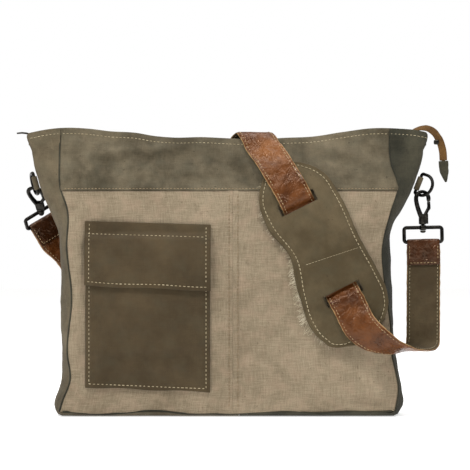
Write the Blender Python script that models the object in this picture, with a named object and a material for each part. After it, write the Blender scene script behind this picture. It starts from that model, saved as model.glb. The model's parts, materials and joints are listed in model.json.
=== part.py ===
"""Canvas messenger bag with a front pocket, a recessed zip and a leather shoulder strap.

Metres, +Z up. The bag's front faces -Y and its length runs along X. The origin is the centre of
the flat base. Every piece of cloth is a thick sheet, laid on the outer skin or offset from it.
"""
import math

import bmesh
import bpy
import numpy as np
from mathutils import Matrix, Vector

CLOTH = 0.0016
GAP = 0.0003
SEAM_GAP = 0.0012
SEAM_BOTTOM = 0.0045
BAND_SEAM = 0.2640
PANEL_SEAM_X = 0.0064
BASE_SEAM_X = 0.0128

# outline of the bag, seen from the front: (height, x) of the side seams and of the gusset folds
LEFT_SEAM = [(0.004, -0.197), (0.018, -0.193), (0.042, -0.184), (0.075, -0.187), (0.140, -0.182),
             (0.198, -0.188), (0.243, -0.188), (0.266, -0.196), (0.300, -0.198), (0.345, -0.198)]
RIGHT_SEAM = [(0.004, 0.194), (0.030, 0.198), (0.078, 0.190), (0.107, 0.189), (0.150, 0.183),
              (0.198, 0.180), (0.242, 0.191), (0.268, 0.199), (0.297, 0.191), (0.345, 0.191)]
LEFT_FOLD = [(0.004, -0.203), (0.015, -0.205), (0.030, -0.200), (0.055, -0.196), (0.120, -0.198),
             (0.198, -0.199), (0.215, -0.201), (0.262, -0.220), (0.291, -0.228), (0.345, -0.242)]
RIGHT_FOLD = [(0.004, 0.202), (0.015, 0.206), (0.030, 0.205), (0.055, 0.199), (0.101, 0.194),
              (0.184, 0.193), (0.219, 0.193), (0.242, 0.206), (0.285, 0.225), (0.345, 0.239)]
# half the bag's depth at the side seams, and how far the middle of a panel stands out from them
HALF_DEPTH = [(0.004, 0.0420), (0.050, 0.0430), (0.120, 0.0430), (0.200, 0.0400),
              (0.250, 0.0330), (0.290, 0.0220), (0.315, 0.0125), (0.330, 0.0075), (0.345, 0.0070)]
BULGE = [(0.004, 0.0), (0.040, 0.0035), (0.110, 0.0065), (0.170, 0.0070), (0.230, 0.0060),
         (0.290, 0.0030), (0.330, 0.0), (0.345, 0.0)]
# how square the gusset's bulge is: 2 is a parabola, more is a flat-sided U
GUSSET_POWER = [(0.004, 2.6), (0.200, 2.2), (0.260, 2.4), (0.330, 5.0), (0.345, 5.0)]
# the top edge, seen from the front: (x, height)
RIM = [(-0.242, 0.3262), (-0.232, 0.3330), (-0.194, 0.3385), (-0.165, 0.3375), (-0.140, 0.3345),
       (-0.108, 0.3325), (-0.088, 0.3290), (-0.065, 0.3270), (-0.030, 0.3275), (-0.006, 0.3264), (0.015, 0.3254),
       (0.045, 0.3254), (0.066, 0.3266), (0.098, 0.3280),
       (0.135, 0.3335), (0.170, 0.3380), (0.202, 0.3375), (0.222, 0.3345),
       (0.230, 0.3300), (0.239, 0.3255)]

# the notch in each end's top edge that the zip passes through
NOTCH_HALF = 0.0055
NOTCH_Z = 0.3190

LINING_INSET = 0.0030
LINING = 0.0008
LINING_TOP = 0.3000

ZIP_Z = 0.3210
TAPE = 0.0007
TAPE_OUTER = 0.0056
HINGE_Y = 0.0052
TEETH_INNER = 0.0010
TEETH_OUTER = 0.0026
TEETH_HEIGHT = 0.0022
TEETH_GAP = 0.0001
ZIP_LEFT = -0.2235
ZIP_RIGHT = 0.2040
PULL_PIVOT = (-0.2190, 0.3252)
PULL_TILT = 8
PULL_LENGTH = 0.0310
# the zip's free end past the bag's corner, as (point, direction across)
TAIL = [((0.2050, 0, 0.3222), (0, 1, 0)), ((0.2120, 0, 0.3310), (0, 1, 0)),
        ((0.2215, 0, 0.3366), (0.05, 0.85, 0.30)), ((0.2330, -0.001, 0.3385), (0.25, 0.60, 0.70)),
        ((0.2420, -0.002, 0.3345), (0.60, 0.35, 0.65)), ((0.2490, -0.003, 0.3250), (0.85, 0.20, 0.40)),
        ((0.2530, -0.003, 0.3130), (0.97, 0.10, 0.20)), ((0.2542, -0.003, 0.3000), (1, 0, 0.05))]
TAIL_CAP = [((0.2542, -0.003, 0.2995), (1, 0, 0.05)), ((0.2550, -0.003, 0.2880), (1, 0, 0.10)),
            ((0.2572, -0.003, 0.2745), (1, 0, 0.15))]
ZIP_HALF_START = -0.2060
ZIP_HALF_END = 0.1850
SLIDER_X = -0.2165
SLIDER_LENGTH = 0.0110

FLAP_HINGE = (-0.0935, -0.0478, 0.2165)
POCKET_LEFT = -0.1660
POCKET_RIGHT = -0.0210
POCKET_BOTTOM = 0.0325
POCKET_TOP = 0.1980
POCKET_ROOM = 0.0085
FLAP_HINGE_Z = 0.2165
FLAP_TOP = 0.2240
FLAP_BOTTOM = 0.1485
FLAP = 0.0020

STRAP_WIDTH = 0.0380
STRAP_LAYER = 0.0015
PAD_TOP = -0.1080
PAD_BOTTOM = 0.1180
PAD_LAYER = 0.0010
PAD_FILL = 0.0030
PAD_CENTRE = (0.1070, 0.1965)
PAD_DIRECTION = (0.4460, -0.8950)
SLOT_SPAN = 0.1180
SLOT_LENGTH = 0.0135
SLOT_WIDTH = 0.0460

WIRE = 0.0020
RING_WIRE = 0.0019
RING_HALF_BAR = 0.0125
RING_ROUND = 0.0125
RING_DEPTH = 0.0200
RING_HEIGHT = 0.2745
RING_OUT = 0.0043
SLEEVE_IN = 0.0023
SLEEVE_OUT = 0.0033
SLEEVE_LENGTH = 0.0160

# the snap hook in its own plane, up from the loop's boss: (across, up)
HOOK_TOP = 0.0310
HOOK_ROUND = 0.0083
HOOK_LEFT_SIDE = [(-0.0022, 0.0100), (-0.0045, 0.0150), (-0.0070, 0.0220), (-0.0083, 0.0285)]
HOOK_TIP = 0.0288
GATE_PIVOT = (0.0030, 0.0100)
GATE_TIP = (0.0083, 0.0268)
LOOP_TOP = -0.0030
LOOP_BOTTOM = -0.0200
LOOP_HALF = 0.0223
LOOP_ROUND = 0.0030
WRAP_LENGTH = 0.0270
COLOURS = {
    "olive_canvas": ((0.110, 0.094, 0.066), 0.9, 0.0),
    "grey_canvas": ((0.086, 0.082, 0.058), 0.9, 0.0),
    "pocket_canvas": ((0.092, 0.072, 0.045), 0.9, 0.0),
    "linen": ((0.350, 0.280, 0.200), 0.95, 0.0),
    "lining_cotton": ((0.300, 0.260, 0.190), 0.95, 0.0),
    "leather": ((0.190, 0.056, 0.014), 0.35, 0.0),
    "filling": ((0.600, 0.580, 0.520), 0.95, 0.0),
    "gunmetal": ((0.020, 0.020, 0.022), 0.40, 1.0),
    "brass": ((0.330, 0.200, 0.060), 0.35, 1.0),
    "zip_tape": ((0.120, 0.080, 0.030), 0.85, 0.0),
}
MATERIALS = {}


def clear_scene():
    for obj in list(bpy.data.objects):
        bpy.data.objects.remove(obj, do_unlink=True)


def make_materials():
    for name, (colour, roughness, metallic) in COLOURS.items():
        material = bpy.data.materials.new(name)
        material.use_nodes = True
        shader = material.node_tree.nodes["Principled BSDF"]
        shader.inputs["Base Color"].default_value = (*colour, 1.0)
        shader.inputs["Roughness"].default_value = roughness
        shader.inputs["Metallic"].default_value = metallic
        MATERIALS[name] = material


def table(pairs):
    """A smooth function through (place, value) pairs: cubic pieces with finite-difference slopes."""
    place, value = np.array(pairs, float).T
    slope = np.gradient(value, place)

    def at(t):
        t = min(max(t, place[0]), place[-1])
        i = min(max(int(np.searchsorted(place, t)) - 1, 0), len(place) - 2)
        step = place[i + 1] - place[i]
        s = (t - place[i]) / step
        a, b = value[i], value[i + 1]
        return float(
            a * (1 + 2 * s) * (1 - s) ** 2 + b * s * s * (3 - 2 * s)
            + step * (slope[i] * s * (1 - s) ** 2 - slope[i + 1] * s * s * (1 - s)))

    return at


left_seam = table(LEFT_SEAM)
right_seam = table(RIGHT_SEAM)
left_fold = table(LEFT_FOLD)
right_fold = table(RIGHT_FOLD)
half_depth = table(HALF_DEPTH)
bulge = table(BULGE)
gusset_power = table(GUSSET_POWER)
rim = table(RIM)


def skin_y(x, z):
    """Half the bag's depth at a point of the front, measured to the outside of the cloth."""
    low, high = left_seam(z), right_seam(z)
    across = (2 * x - low - high) / (high - low)
    return half_depth(z) + bulge(z) * max(0.0, 1 - across * across)


def add_mesh(name, points, faces, colour, smooth=True):
    mesh = bpy.data.meshes.new(name)
    mesh.from_pydata([tuple(p) for p in points], [], faces)
    mesh.validate()
    work = bmesh.new()
    work.from_mesh(mesh)
    bmesh.ops.remove_doubles(work, verts=work.verts, dist=0.000005)
    if all(len(edge.link_faces) == 2 for edge in work.edges):
        bmesh.ops.recalc_face_normals(work, faces=work.faces)
    work.to_mesh(mesh)
    work.free()
    obj = bpy.data.objects.new(name, mesh)
    obj.data.materials.append(MATERIALS[colour])
    bpy.context.collection.objects.link(obj)
    if smooth:
        mesh.shade_smooth()
        mesh.set_sharp_from_angle(angle=math.radians(35))
    return obj


def grid_faces(rows, columns):
    faces = []
    for i in range(rows - 1):
        for j in range(columns - 1):
            a = i * columns + j
            faces.append((a, a + 1, a + columns + 1, a + columns))
    return faces


def sheet(name, grid, thickness, colour):
    """A grid of points on a cloth's outer side, thickened inwards. Rows go up, columns so that
    the faces point out."""
    rows, columns = len(grid), len(grid[0])
    points = [p for row in grid for p in row]
    obj = add_mesh(name, points, grid_faces(rows, columns), colour)
    thicken = obj.modifiers.new("thickness", "SOLIDIFY")
    thicken.thickness = thickness
    thicken.offset = -1
    thicken.use_even_offset = True
    thicken.thickness_clamp = 0
    return obj


# ---- the bag's shell ----

def gusset_curve(seam, fold, depth, power, follow_rim=False):
    """Points across the gusset, from the front seam to the back seam, with the room that the
    panels' thickness needs left free at both ends."""
    across = np.linspace(-1, 1, 121)
    swell = 1 - np.abs(across) ** power
    points = np.column_stack([
        seam[0] + (fold[0] - seam[0]) * swell, across * depth,
        seam[1] + (fold[1] - seam[1]) * swell])
    if follow_rim:
        points[:, 2] = [rim(x) if abs(y) > NOTCH_HALF else NOTCH_Z for x, y, _ in points]
    run = np.concatenate([[0], np.cumsum(np.linalg.norm(np.diff(points, axis=0), axis=1))])
    start = points[2] - points[0]
    opening = math.atan2(abs(start[1]), math.hypot(start[0], start[2]))
    half_angle = (math.pi - opening) / 2
    free = CLOTH / math.tan(half_angle) + SEAM_GAP
    shares = np.array([0, 0.06, 0.15, 0.3, 0.5, 0.7, 0.85, 0.94, 1])
    where = free + shares * (run[-1] - 2 * free)
    return [tuple(np.interp(s, run, points[:, k]) for k in range(3)) for s in where]


def side_stations(seam, fold, corner_x):
    """Gusset curves from the top edge down one side to the bottom corner."""
    heights = [0.3180, 0.3050, 0.2920, 0.2780, 0.2640, 0.2500, 0.2360, 0.2200, 0.1950, 0.1600,
               0.1250, 0.0900, 0.0600, 0.0420, 0.0280, 0.0150]
    top_z = 0.330
    top = (seam(top_z), rim(seam(top_z))), (fold(top_z), rim(fold(top_z)))
    rows = [gusset_curve(*top, half_depth(top_z), gusset_power(top_z), follow_rim=True)]
    for z in heights:
        rows.append(gusset_curve((seam(z), z), (fold(z), z), half_depth(z), gusset_power(z)))
    inwards = -math.copysign(1, corner_x)
    seam_x = corner_x
    fold_x = fold(0.0060)
    depth = half_depth(0.004)
    rows.append(gusset_curve((seam_x + 0.0003 * inwards, 0.0080), (fold_x, 0.0075), depth, 3.2))
    rows.append(gusset_curve((seam_x + 0.0020 * inwards, 0.0050),
                             (fold_x + 0.0035 * inwards, 0.0020), depth, 4.5))
    rows.append(gusset_curve((seam_x + 0.0060 * inwards, SEAM_BOTTOM),
                             (fold_x + 0.0090 * inwards, 0.0), depth, 7.0))
    return rows


def base_station(x):
    return gusset_curve((x, SEAM_BOTTOM), (x, 0.0), half_depth(0.004), 9.0)


def make_gussets():
    left = side_stations(left_seam, left_fold, left_seam(0.004))
    left += [base_station(x) for x in (-0.1750, -0.1000, -0.0400, BASE_SEAM_X - GAP)]
    sheet("gusset_left", left, CLOTH, "olive_canvas")
    right = side_stations(right_seam, right_fold, right_seam(0.004))
    right += [base_station(x) for x in (0.1750, 0.1100, 0.0600, BASE_SEAM_X + GAP)]
    sheet("gusset_right", right[::-1], CLOTH, "grey_canvas")


def panel(name, heights, from_x, to_x, columns, side, colour):
    """A piece of the front (side -1) or back (side +1) between two edges given at each height."""
    grid = []
    for z in heights:
        row = []
        for x in np.linspace(from_x(z) + 2 * GAP, to_x(z) - 2 * GAP, columns):
            row.append((x, side * skin_y(x, z), z))
        grid.append(row if side < 0 else row[::-1])
    return sheet(name, grid, CLOTH, colour)


def band(name, side, colour):
    """The band between the linen and the top edge, which follows the rim's wave."""
    shares = [0, 0.16, 0.34, 0.52, 0.68, 0.82, 0.93, 1]
    grid = []
    for share in shares:
        row = []
        for across in np.linspace(0, 1, 23):
            z = BAND_SEAM + GAP
            for _ in range(3):
                x = left_seam(z) + (right_seam(z) - left_seam(z)) * across
                z = BAND_SEAM + GAP + (rim(x) - BAND_SEAM - GAP) * share
            row.append((x, side * skin_y(x, z), z))
        grid.append(row if side < 0 else row[::-1])
    return sheet(name, grid, CLOTH, colour)


def make_panels():
    rows = np.concatenate([[SEAM_BOTTOM, 0.018], np.linspace(0.04, BAND_SEAM - GAP, 10)])
    seam = PANEL_SEAM_X
    panel("front_panel_left", rows, left_seam, lambda z: seam, 9, -1, "linen")
    panel("front_panel_right", rows, lambda z: seam, right_seam, 9, -1, "linen")
    panel("back_panel", rows, left_seam, right_seam, 17, 1, "olive_canvas")
    band("front_band", -1, "olive_canvas")
    band("back_band", 1, "olive_canvas")


def lining_ring(z):
    """One level of the lining sack: the skin's section, set in from it."""
    reach = 0.75
    inset = LINING_INSET + 0.0010
    points = []
    low, high = left_seam(z) + inset, right_seam(z) - inset
    for x in np.linspace(low, high, 13):
        points.append((x, -skin_y(x, z) + LINING_INSET + 0.0012, z))
    for y_share in (-0.5, 0, 0.5):
        swell = 1 - abs(y_share) ** 2.2
        x = high + max(0.0, (right_fold(z) - right_seam(z)) * reach * swell - 0.0015)
        points.append((x, y_share * half_depth(z), z))
    for x in np.linspace(high, low, 13):
        points.append((x, skin_y(x, z) - LINING_INSET - 0.0012, z))
    for y_share in (0.5, 0, -0.5):
        swell = 1 - abs(y_share) ** 2.2
        x = low + min(0.0, (left_fold(z) - left_seam(z)) * reach * swell + 0.0015)
        points.append((x, y_share * half_depth(z), z))
    return points


def make_lining():
    heights = [0.0065, 0.0160, 0.0420, 0.0900, 0.1400, 0.1900, 0.2300, 0.2600, 0.2820, LINING_TOP]
    rings = [lining_ring(z) for z in heights]
    count = len(rings[0])
    points = [p for ring in rings for p in ring]
    faces = []
    for i in range(len(rings) - 1):
        for j in range(count):
            a, b = i * count + j, i * count + (j + 1) % count
            faces.append((a, b, b + count, a + count))
    for j in range(12):
        front, back = j, 28 - j
        faces.append((front, back, back - 1, front + 1))
    faces.append((12, 16, 15, 14, 13))
    faces.append((0, 31, 30, 29, 28))
    obj = add_mesh("lining", points, faces, "lining_cotton")
    thicken = obj.modifiers.new("thickness", "SOLIDIFY")
    thicken.thickness = LINING
    thicken.offset = -1
    thicken.use_even_offset = True
    thicken.thickness_clamp = 0
    pocket = []
    for z in (0.120, 0.160, 0.200, 0.235):
        pocket.append([(x, skin_y(x, z) - LINING_INSET - 0.0032 - LINING, z)
                       for x in np.linspace(-0.085, 0.085, 7)])
    sheet("inner_pocket", pocket, LINING, "lining_cotton")


# ---- the front pocket ----

def pocket_point(x, z, room):
    """A point of the pocket's outer side: it lies on the panel at the sides and the bottom."""
    across = (2 * x - POCKET_LEFT - POCKET_RIGHT) / (POCKET_RIGHT - POCKET_LEFT)
    up = (z - POCKET_BOTTOM) / (POCKET_TOP - POCKET_BOTTOM)
    swell = (1 - across ** 4) * min(1.0, 1 - (1 - min(up * 2.2, 1.0)) ** 2)
    return x, -skin_y(x, z) - GAP - CLOTH - room * swell, z


def make_pocket():
    grid = []
    for z in (POCKET_BOTTOM, 0.044, 0.060, 0.080, 0.110, 0.145, 0.180, POCKET_TOP):
        grid.append([pocket_point(x, z, POCKET_ROOM)
                     for x in np.linspace(POCKET_LEFT, POCKET_RIGHT, 13)])
    sheet("pocket_body", grid, CLOTH, "pocket_canvas")
    hem = []
    for z in (FLAP_HINGE_Z + GAP * 2, (FLAP_HINGE_Z + FLAP_TOP) / 2, FLAP_TOP):
        hem.append([(x, -skin_y(x, z) - GAP - FLAP, z)
                    for x in np.linspace(POCKET_LEFT, POCKET_RIGHT, 13)])
    sheet("pocket_flap_hem", hem, FLAP, "pocket_canvas")
    flap = []
    hinge_z = FLAP_HINGE_Z - GAP * 2
    stand = POCKET_ROOM + CLOTH + 3 * GAP + FLAP
    for share in (0, 0.10, 0.25, 0.45, 0.65, 0.84, 0.93, 1):
        z = hinge_z + (FLAP_BOTTOM - hinge_z) * (1 - share)
        row = []
        for x in np.linspace(POCKET_LEFT - 0.0008, POCKET_RIGHT + 0.0008, 13):
            across = (2 * x - POCKET_LEFT - POCKET_RIGHT) / (POCKET_RIGHT - POCKET_LEFT)
            out = 0.45 + 0.55 * (1 - min(1.0, across ** 4))
            near = min(1.0, (1 - share) / 0.16)
            out = GAP + FLAP + (stand - GAP - FLAP) * out * near + 0.0006
            row.append((x, -skin_y(x, z) - out, z))
        flap.append(row)
    set_origin(sheet("pocket_flap", flap, FLAP, "pocket_canvas"), FLAP_HINGE)


# ---- the strap ----

def front_place(x, z, out):
    return x, -skin_y(x, z) - out, z


def back_place(x, z, out):
    return x, skin_y(x, z) + out, z


STRAP_ON_PAD = 0.0122
STRAP_UNDER_PAD = 0.0032
# the strap's centre line from the right-hand ring to the left-hand one, and the direction of the
# line across it at each point, which runs from its left edge to its right edge
RIGHT_LEG = [
    ((0.2300, -0.0100, 0.1600), (1, 0, 0)),
    ((0.2298, -0.0105, 0.1200), (1, 0, 0)), ((0.2296, -0.0110, 0.0960), (1, 0, 0)),
    ((0.2290, -0.0140, 0.0860), (1, 0, 0)), ((0.2260, -0.0220, 0.0800), (0.95, -0.3, 0)),
    ((0.2190, -0.0380, 0.0785), (0.75, -0.66, 0)), ((0.2080, -0.0550, 0.0790), (0.40, -0.91, 0.10)),
    ((0.1900, -0.0680, 0.0825), (0.34, -0.84, 0.42)), ((0.1690, -0.0680, 0.0920), (0.62, -0.53, 0.58)),
    ((0.1530, -0.0640, 0.1060), (0.84, -0.22, 0.48)),
]
FRONT = [(0.1430, 0.1250, 0.0128), (0.1390, 0.1335, STRAP_ON_PAD)]
FRONT_HIGH = [(0.0715, 0.2672, 0.0126), (0.0665, 0.2757, 0.0128), (0.0615, 0.2842, 0.0128),
              (0.0565, 0.2925, 0.0126), (0.0515, 0.3010, 0.0110), (0.0460, 0.3090, 0.0078)]
OVER_RIM = [((0.0405, -0.0175, 0.3168), (1, 0, 0.12)), ((0.0365, -0.0130, 0.3250), (1, 0, 0)),
            ((0.0335, -0.0085, 0.3298), (1, 0, 0)), ((0.0315, -0.0040, 0.3318), (1, 0, 0)),
            ((0.0300, 0.0, 0.3323), (1, 0, 0)), ((0.0285, 0.0040, 0.3318), (1, 0, 0)),
            ((0.0265, 0.0085, 0.3298), (1, 0, 0)), ((0.0235, 0.0130, 0.3250), (1, 0, 0)),
            ((0.0195, 0.0175, 0.3165), (1, 0, -0.12))]
BACK = [(0.0125, 0.3050, 0.0085), (0.0050, 0.2920, 0.0085), (-0.0030, 0.2780, 0.0080),
        (-0.0115, 0.2640, 0.0075), (-0.0200, 0.2490, 0.0070), (-0.0360, 0.2200, 0.0060),
        (-0.0540, 0.1850, 0.0060), (-0.0720, 0.1500, 0.0065), (-0.0880, 0.1200, 0.0095)]
LEFT_LEG = [
    ((-0.1010, 0.0665, 0.0990), (0.62, -0.65, -0.42)), ((-0.1150, 0.0730, 0.0870), (0.30, -0.94, -0.10)),
    ((-0.1300, 0.0750, 0.0840), (0.05, -1, 0)), ((-0.1450, 0.0730, 0.0930), (0.35, -0.90, 0.25)),
    ((-0.1570, 0.0680, 0.1140), (0.75, -0.50, 0.42)), ((-0.1670, 0.0645, 0.1400), (0.88, -0.15, 0.42)),
    ((-0.1780, 0.0635, 0.1660), (0.84, 0.0, 0.53)), ((-0.1920, 0.0625, 0.1900), (0.79, 0.10, 0.60)),
]
# the pad's two edges, as (along from the centre, across) pairs
PAD_LEFT_EDGE = [(-0.1080, -0.0060), (-0.1040, -0.0170), (-0.0930, -0.0300), (-0.0800, -0.0385),
                 (-0.0500, -0.0420), (0.0, -0.0340), (0.0400, -0.0445), (0.0730, -0.0497),
                 (0.0970, -0.0447), (0.1110, -0.0330), (0.1180, -0.0120)]
PAD_RIGHT_EDGE = [(-0.1080, 0.0060), (-0.1040, 0.0160), (-0.0930, 0.0310), (-0.0750, 0.0435),
                  (-0.0500, 0.0470), (0.0100, 0.0455), (0.0550, 0.0471), (0.0800, 0.0458),
                  (0.0980, 0.0370), (0.1100, 0.0220), (0.1180, 0.0020)]
PAD_HALF = SLOT_SPAN / 2


def pad_point(along, across, out):
    """A point of the shoulder pad, along it from its centre (down is positive) and across it."""
    dx, dz = PAD_DIRECTION
    x = PAD_CENTRE[0] + dx * along - dz * across
    z = PAD_CENTRE[1] + dz * along + dx * across
    return front_place(x, z, out)


def laid(place, direction, side):
    """A station of the strap where it lies along the skin, front (-1) or back (1)."""
    x, _, z = place
    dx, dz = direction
    reach = 0.012
    slope = (skin_y(x + dx * reach, z + dz * reach) - skin_y(x - dx * reach, z - dz * reach))
    return place, (dx, side * slope / (2 * reach), dz)


def strap_route():
    """The strap's stations: (point, direction across), from right to left."""
    across = (0.895, 0.446)
    route = strap_end("right")[::-1] + RIGHT_LEG
    route += [laid(front_place(*p), across, -1) for p in FRONT]
    slope = 0.0040
    for centre, sign in ((PAD_HALF, 1), (-PAD_HALF, -1)):
        high, low = STRAP_ON_PAD, STRAP_UNDER_PAD
        steps = [(slope + 0.004, high), (slope, high - 0.0006), (-slope, low + 0.0006),
                 (-slope - 0.004, low)]
        steps = steps if sign > 0 else steps[::-1]
        for away, out in steps:
            route.append(laid(pad_point(centre + sign * away, 0, out), across, -1))
        if sign > 0:
            for along in (0.040, 0.020, 0.0, -0.020, -0.040):
                route.append(laid(pad_point(along, 0, low), across, -1))
    route += [laid(front_place(*p), across, -1) for p in FRONT_HIGH]
    route += OVER_RIM
    route += [laid(back_place(*p), (0.866, -0.5), 1) for p in BACK]
    return route + LEFT_LEG + strap_end("left")


def unit(v):
    v = np.array(v, float)
    return v / np.linalg.norm(v)


def smooth_route(route, steps):
    """The route with more stations, on a smooth curve through its points."""
    points = np.array([p for p, _ in route], float)
    rulings = np.array([unit(r) for _, r in route])
    tangents = np.gradient(points, axis=0)
    finer = []
    for i in range(len(points) - 1):
        for s in np.arange(steps) / steps:
            h = (1 + 2 * s) * (1 - s) ** 2, s * (1 - s) ** 2, s * s * (3 - 2 * s), s * s * (s - 1)
            place = (h[0] * points[i] + h[1] * tangents[i]
                     + h[2] * points[i + 1] + h[3] * tangents[i + 1])
            finer.append((place, rulings[i] * (1 - s) + rulings[i + 1] * s))
    return finer + [(points[-1], rulings[-1])]


def ribbon_frames(route):
    """(centre, vector to the right edge, normal of the leather side) for each station. The line
    across is lengthened where it isn't square to the strap, so the strap keeps its width."""
    centres = np.array([p for p, _ in route], float)
    tangents = np.gradient(centres, axis=0)
    frames = []
    for (_, ruling), centre, tangent in zip(route, centres, tangents):
        tangent = unit(tangent)
        ruling = unit(ruling)
        normal = np.cross(ruling, tangent)
        size = np.linalg.norm(normal)
        frames.append((centre, ruling / size, normal / size))
    return frames


def ribbon(name, frames, width, low, high, colour):
    """A strip with a rectangular section: low and high are its two faces, along the normal."""
    corners = ((-1, low), (1, low), (1, high), (-1, high))
    points = [tuple(c + r * width / 2 * side + n * level)
              for c, r, n in frames for side, level in corners]
    faces = []
    for i in range(len(frames) - 1):
        a, b = 4 * i, 4 * i + 4
        faces += [(a, a + 1, b), (a + 1, b + 1, b)]
        faces += [(a + 3, b + 3, a + 2), (a + 2, b + 3, b + 2)]
        faces += [(a + 1, a + 2, b + 2, b + 1), (a, b, b + 3, a + 3)]
    last = 4 * (len(frames) - 1)
    faces += [(3, 2, 1, 0), (last, last + 1, last + 2, last + 3)]
    return add_mesh(name, points, faces, colour)


def make_strap():
    route = strap_route()
    frames = ribbon_frames(smooth_route(route, 2))
    first = 2 * (3 + len(RIGHT_LEG) + len(FRONT) - 1)
    last = first + 2 * 14
    pieces = (("right", 0, first), ("pad_run", first, last), ("left", last, len(frames) - 1))
    for piece, start, end in pieces:
        part = frames[start:end + 1]
        if piece != "right":
            part[0] = shifted(part[0], part[1], 0.0004)
        ribbon(f"strap_leather_{piece}", part, STRAP_WIDTH, GAP / 2, STRAP_LAYER, "leather")
        ribbon(f"strap_canvas_{piece}", part, STRAP_WIDTH, -STRAP_LAYER, -GAP / 2, "olive_canvas")


def shifted(frame, following, distance):
    """A station moved towards the next one, which leaves a gap between two pieces."""
    share = distance / np.linalg.norm(following[0] - frame[0])
    return tuple(a + (b - a) * share for a, b in zip(frame, following))


# ---- the shoulder pad ----

pad_left = table(PAD_LEFT_EDGE)
pad_right = table(PAD_RIGHT_EDGE)


def pad_grid(inset):
    """Rows along the pad and columns across it, which leave its two slots open."""
    half_slot = SLOT_LENGTH / 2
    top, bottom = PAD_TOP + inset, PAD_BOTTOM - inset
    alongs = [top, top + 0.004, top + 0.013, top + 0.026, -PAD_HALF - half_slot,
              -PAD_HALF + half_slot, -0.030, 0.0, 0.030, PAD_HALF - half_slot,
              PAD_HALF + half_slot, bottom - 0.034, bottom - 0.021, bottom - 0.008, bottom]
    half = SLOT_WIDTH / 2
    rows = []
    for along in alongs:
        left, right = pad_left(along) + inset, pad_right(along) - inset
        low, high = max(-half, left * 0.62), min(half, right * 0.62)
        rows.append([(along, a) for a in (left, low, low / 3, high / 3, high, right)])
    return rows


def pad_layer(name, inset, low, high, colour):
    """One layer of the pad between two distances from the bag's front, with both slots cut."""
    rows = pad_grid(inset)
    columns = len(rows[0])
    flat = [p for row in rows for p in row]
    count = len(flat)
    points = [pad_point(a, c, high) for a, c in flat] + [pad_point(a, c, low) for a, c in flat]
    quads = set()
    for i in range(len(rows) - 1):
        for j in range(columns - 1):
            if i in (4, 9) and 1 <= j <= 3:
                continue
            quads.add((i, j))
    faces = []
    for i, j in sorted(quads):
        a = i * columns + j
        loop = (a, a + 1, a + columns + 1, a + columns)
        faces.append(loop)
        faces.append(tuple(count + k for k in reversed(loop)))
        for (di, dj), edge in (((-1, 0), 0), ((0, 1), 1), ((1, 0), 2), ((0, -1), 3)):
            if (i + di, j + dj) not in quads:
                p, q = loop[edge], loop[(edge + 1) % 4]
                faces.append((q, p, count + p, count + q))
    return add_mesh(name, points, faces, colour)


def make_pad():
    base = STRAP_UNDER_PAD + STRAP_LAYER + 0.0008
    pad_layer("pad_back", 0.0, base, base + PAD_LAYER, "olive_canvas")
    fill = base + PAD_LAYER + GAP
    pad_layer("pad_filling", 0.0050, fill, fill + PAD_FILL - 3 * GAP, "filling")
    top = fill + PAD_FILL - 2 * GAP
    pad_layer("pad_front", 0.0, top, top + PAD_LAYER, "olive_canvas")


# ---- metal fittings ----

def wire(name, path, normal, radius, closed, colour="gunmetal", sides=8):
    """A round wire along a flat path, whose plane has the given normal."""
    path = [np.array(p, float) for p in path]
    count = len(path)
    normal = unit(normal)
    points = []
    for i, p in enumerate(path):
        before = path[i - 1] if closed or i > 0 else p
        after = path[(i + 1) % count] if closed or i < count - 1 else p
        tangent = unit(after - before)
        side = unit(np.cross(tangent, normal))
        for k in range(sides):
            angle = 2 * math.pi * (k + 0.5) / sides
            points.append(tuple(p + radius * (math.cos(angle) * side + math.sin(angle) * normal)))
    faces = []
    for i in range(count if closed else count - 1):
        a, b = i * sides, (i + 1) % count * sides
        for k in range(sides):
            m = (k + 1) % sides
            faces.append((a + k, a + m, b + m, b + k))
    if not closed:
        faces.append(tuple(range(sides)))
        faces.append(tuple((count - 1) * sides + k for k in reversed(range(sides))))
    return add_mesh(name, points, faces, colour)


def rod(name, start, end, radius, colour="gunmetal", sides=12):
    start, end = np.array(start, float), np.array(end, float)
    along = unit(end - start)
    other = (0, 0, 1) if abs(along[2]) < 0.9 else (1, 0, 0)
    return wire(name, [start, end], np.cross(along, other), radius, False, colour, sides)


def box(name, centre, axes, sizes, colour="gunmetal"):
    """A block with its sides along three given axes."""
    corners = [(i, j, k) for i in (-1, 1) for j in (-1, 1) for k in (-1, 1)]
    axes = [unit(a) for a in axes]
    points = [tuple(np.array(centre) + sum(s * size / 2 * axis for s, size, axis
                                           in zip(c, sizes, axes))) for c in corners]
    faces = [(0, 1, 3, 2), (4, 6, 7, 5), (0, 4, 5, 1), (2, 3, 7, 6), (0, 2, 6, 4), (1, 5, 7, 3)]
    return add_mesh(name, points, faces, colour, smooth=False)


def combine(obj, tool, operation):
    """Joins a tool to an object, or cuts it out, with a Boolean modifier."""
    tool.hide_render = True
    tool.display_type = "WIRE"
    modifier = obj.modifiers.new(tool.name, "BOOLEAN")
    modifier.operation = operation
    modifier.object = tool


def set_origin(obj, point):
    """Moves an object's origin to a point of its joint's axis, and leaves its shape in place."""
    obj.data.transform(Matrix.Translation(-Vector(point)))
    obj.location = Vector(point)


def arc(centre, radius, start, end, count):
    return [(centre[0] + radius * math.cos(math.radians(a)),
             centre[1] + radius * math.sin(math.radians(a)))
            for a in np.linspace(start, end, count)]


class Frame:
    """A flat frame in space: an origin, a direction across, one up, and the plane's normal."""

    def __init__(self, origin, across, up):
        self.origin = np.array(origin, float)
        self.up = unit(up)
        self.normal = unit(np.cross(across, self.up))
        self.across = np.cross(self.up, self.normal)

    def at(self, across, up, out=0.0):
        return self.origin + across * self.across + up * self.up + out * self.normal

    def turned(self, degrees):
        angle = math.radians(degrees)
        across = math.cos(angle) * self.across + math.sin(angle) * self.normal
        return Frame(self.origin, across, self.up)


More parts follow.
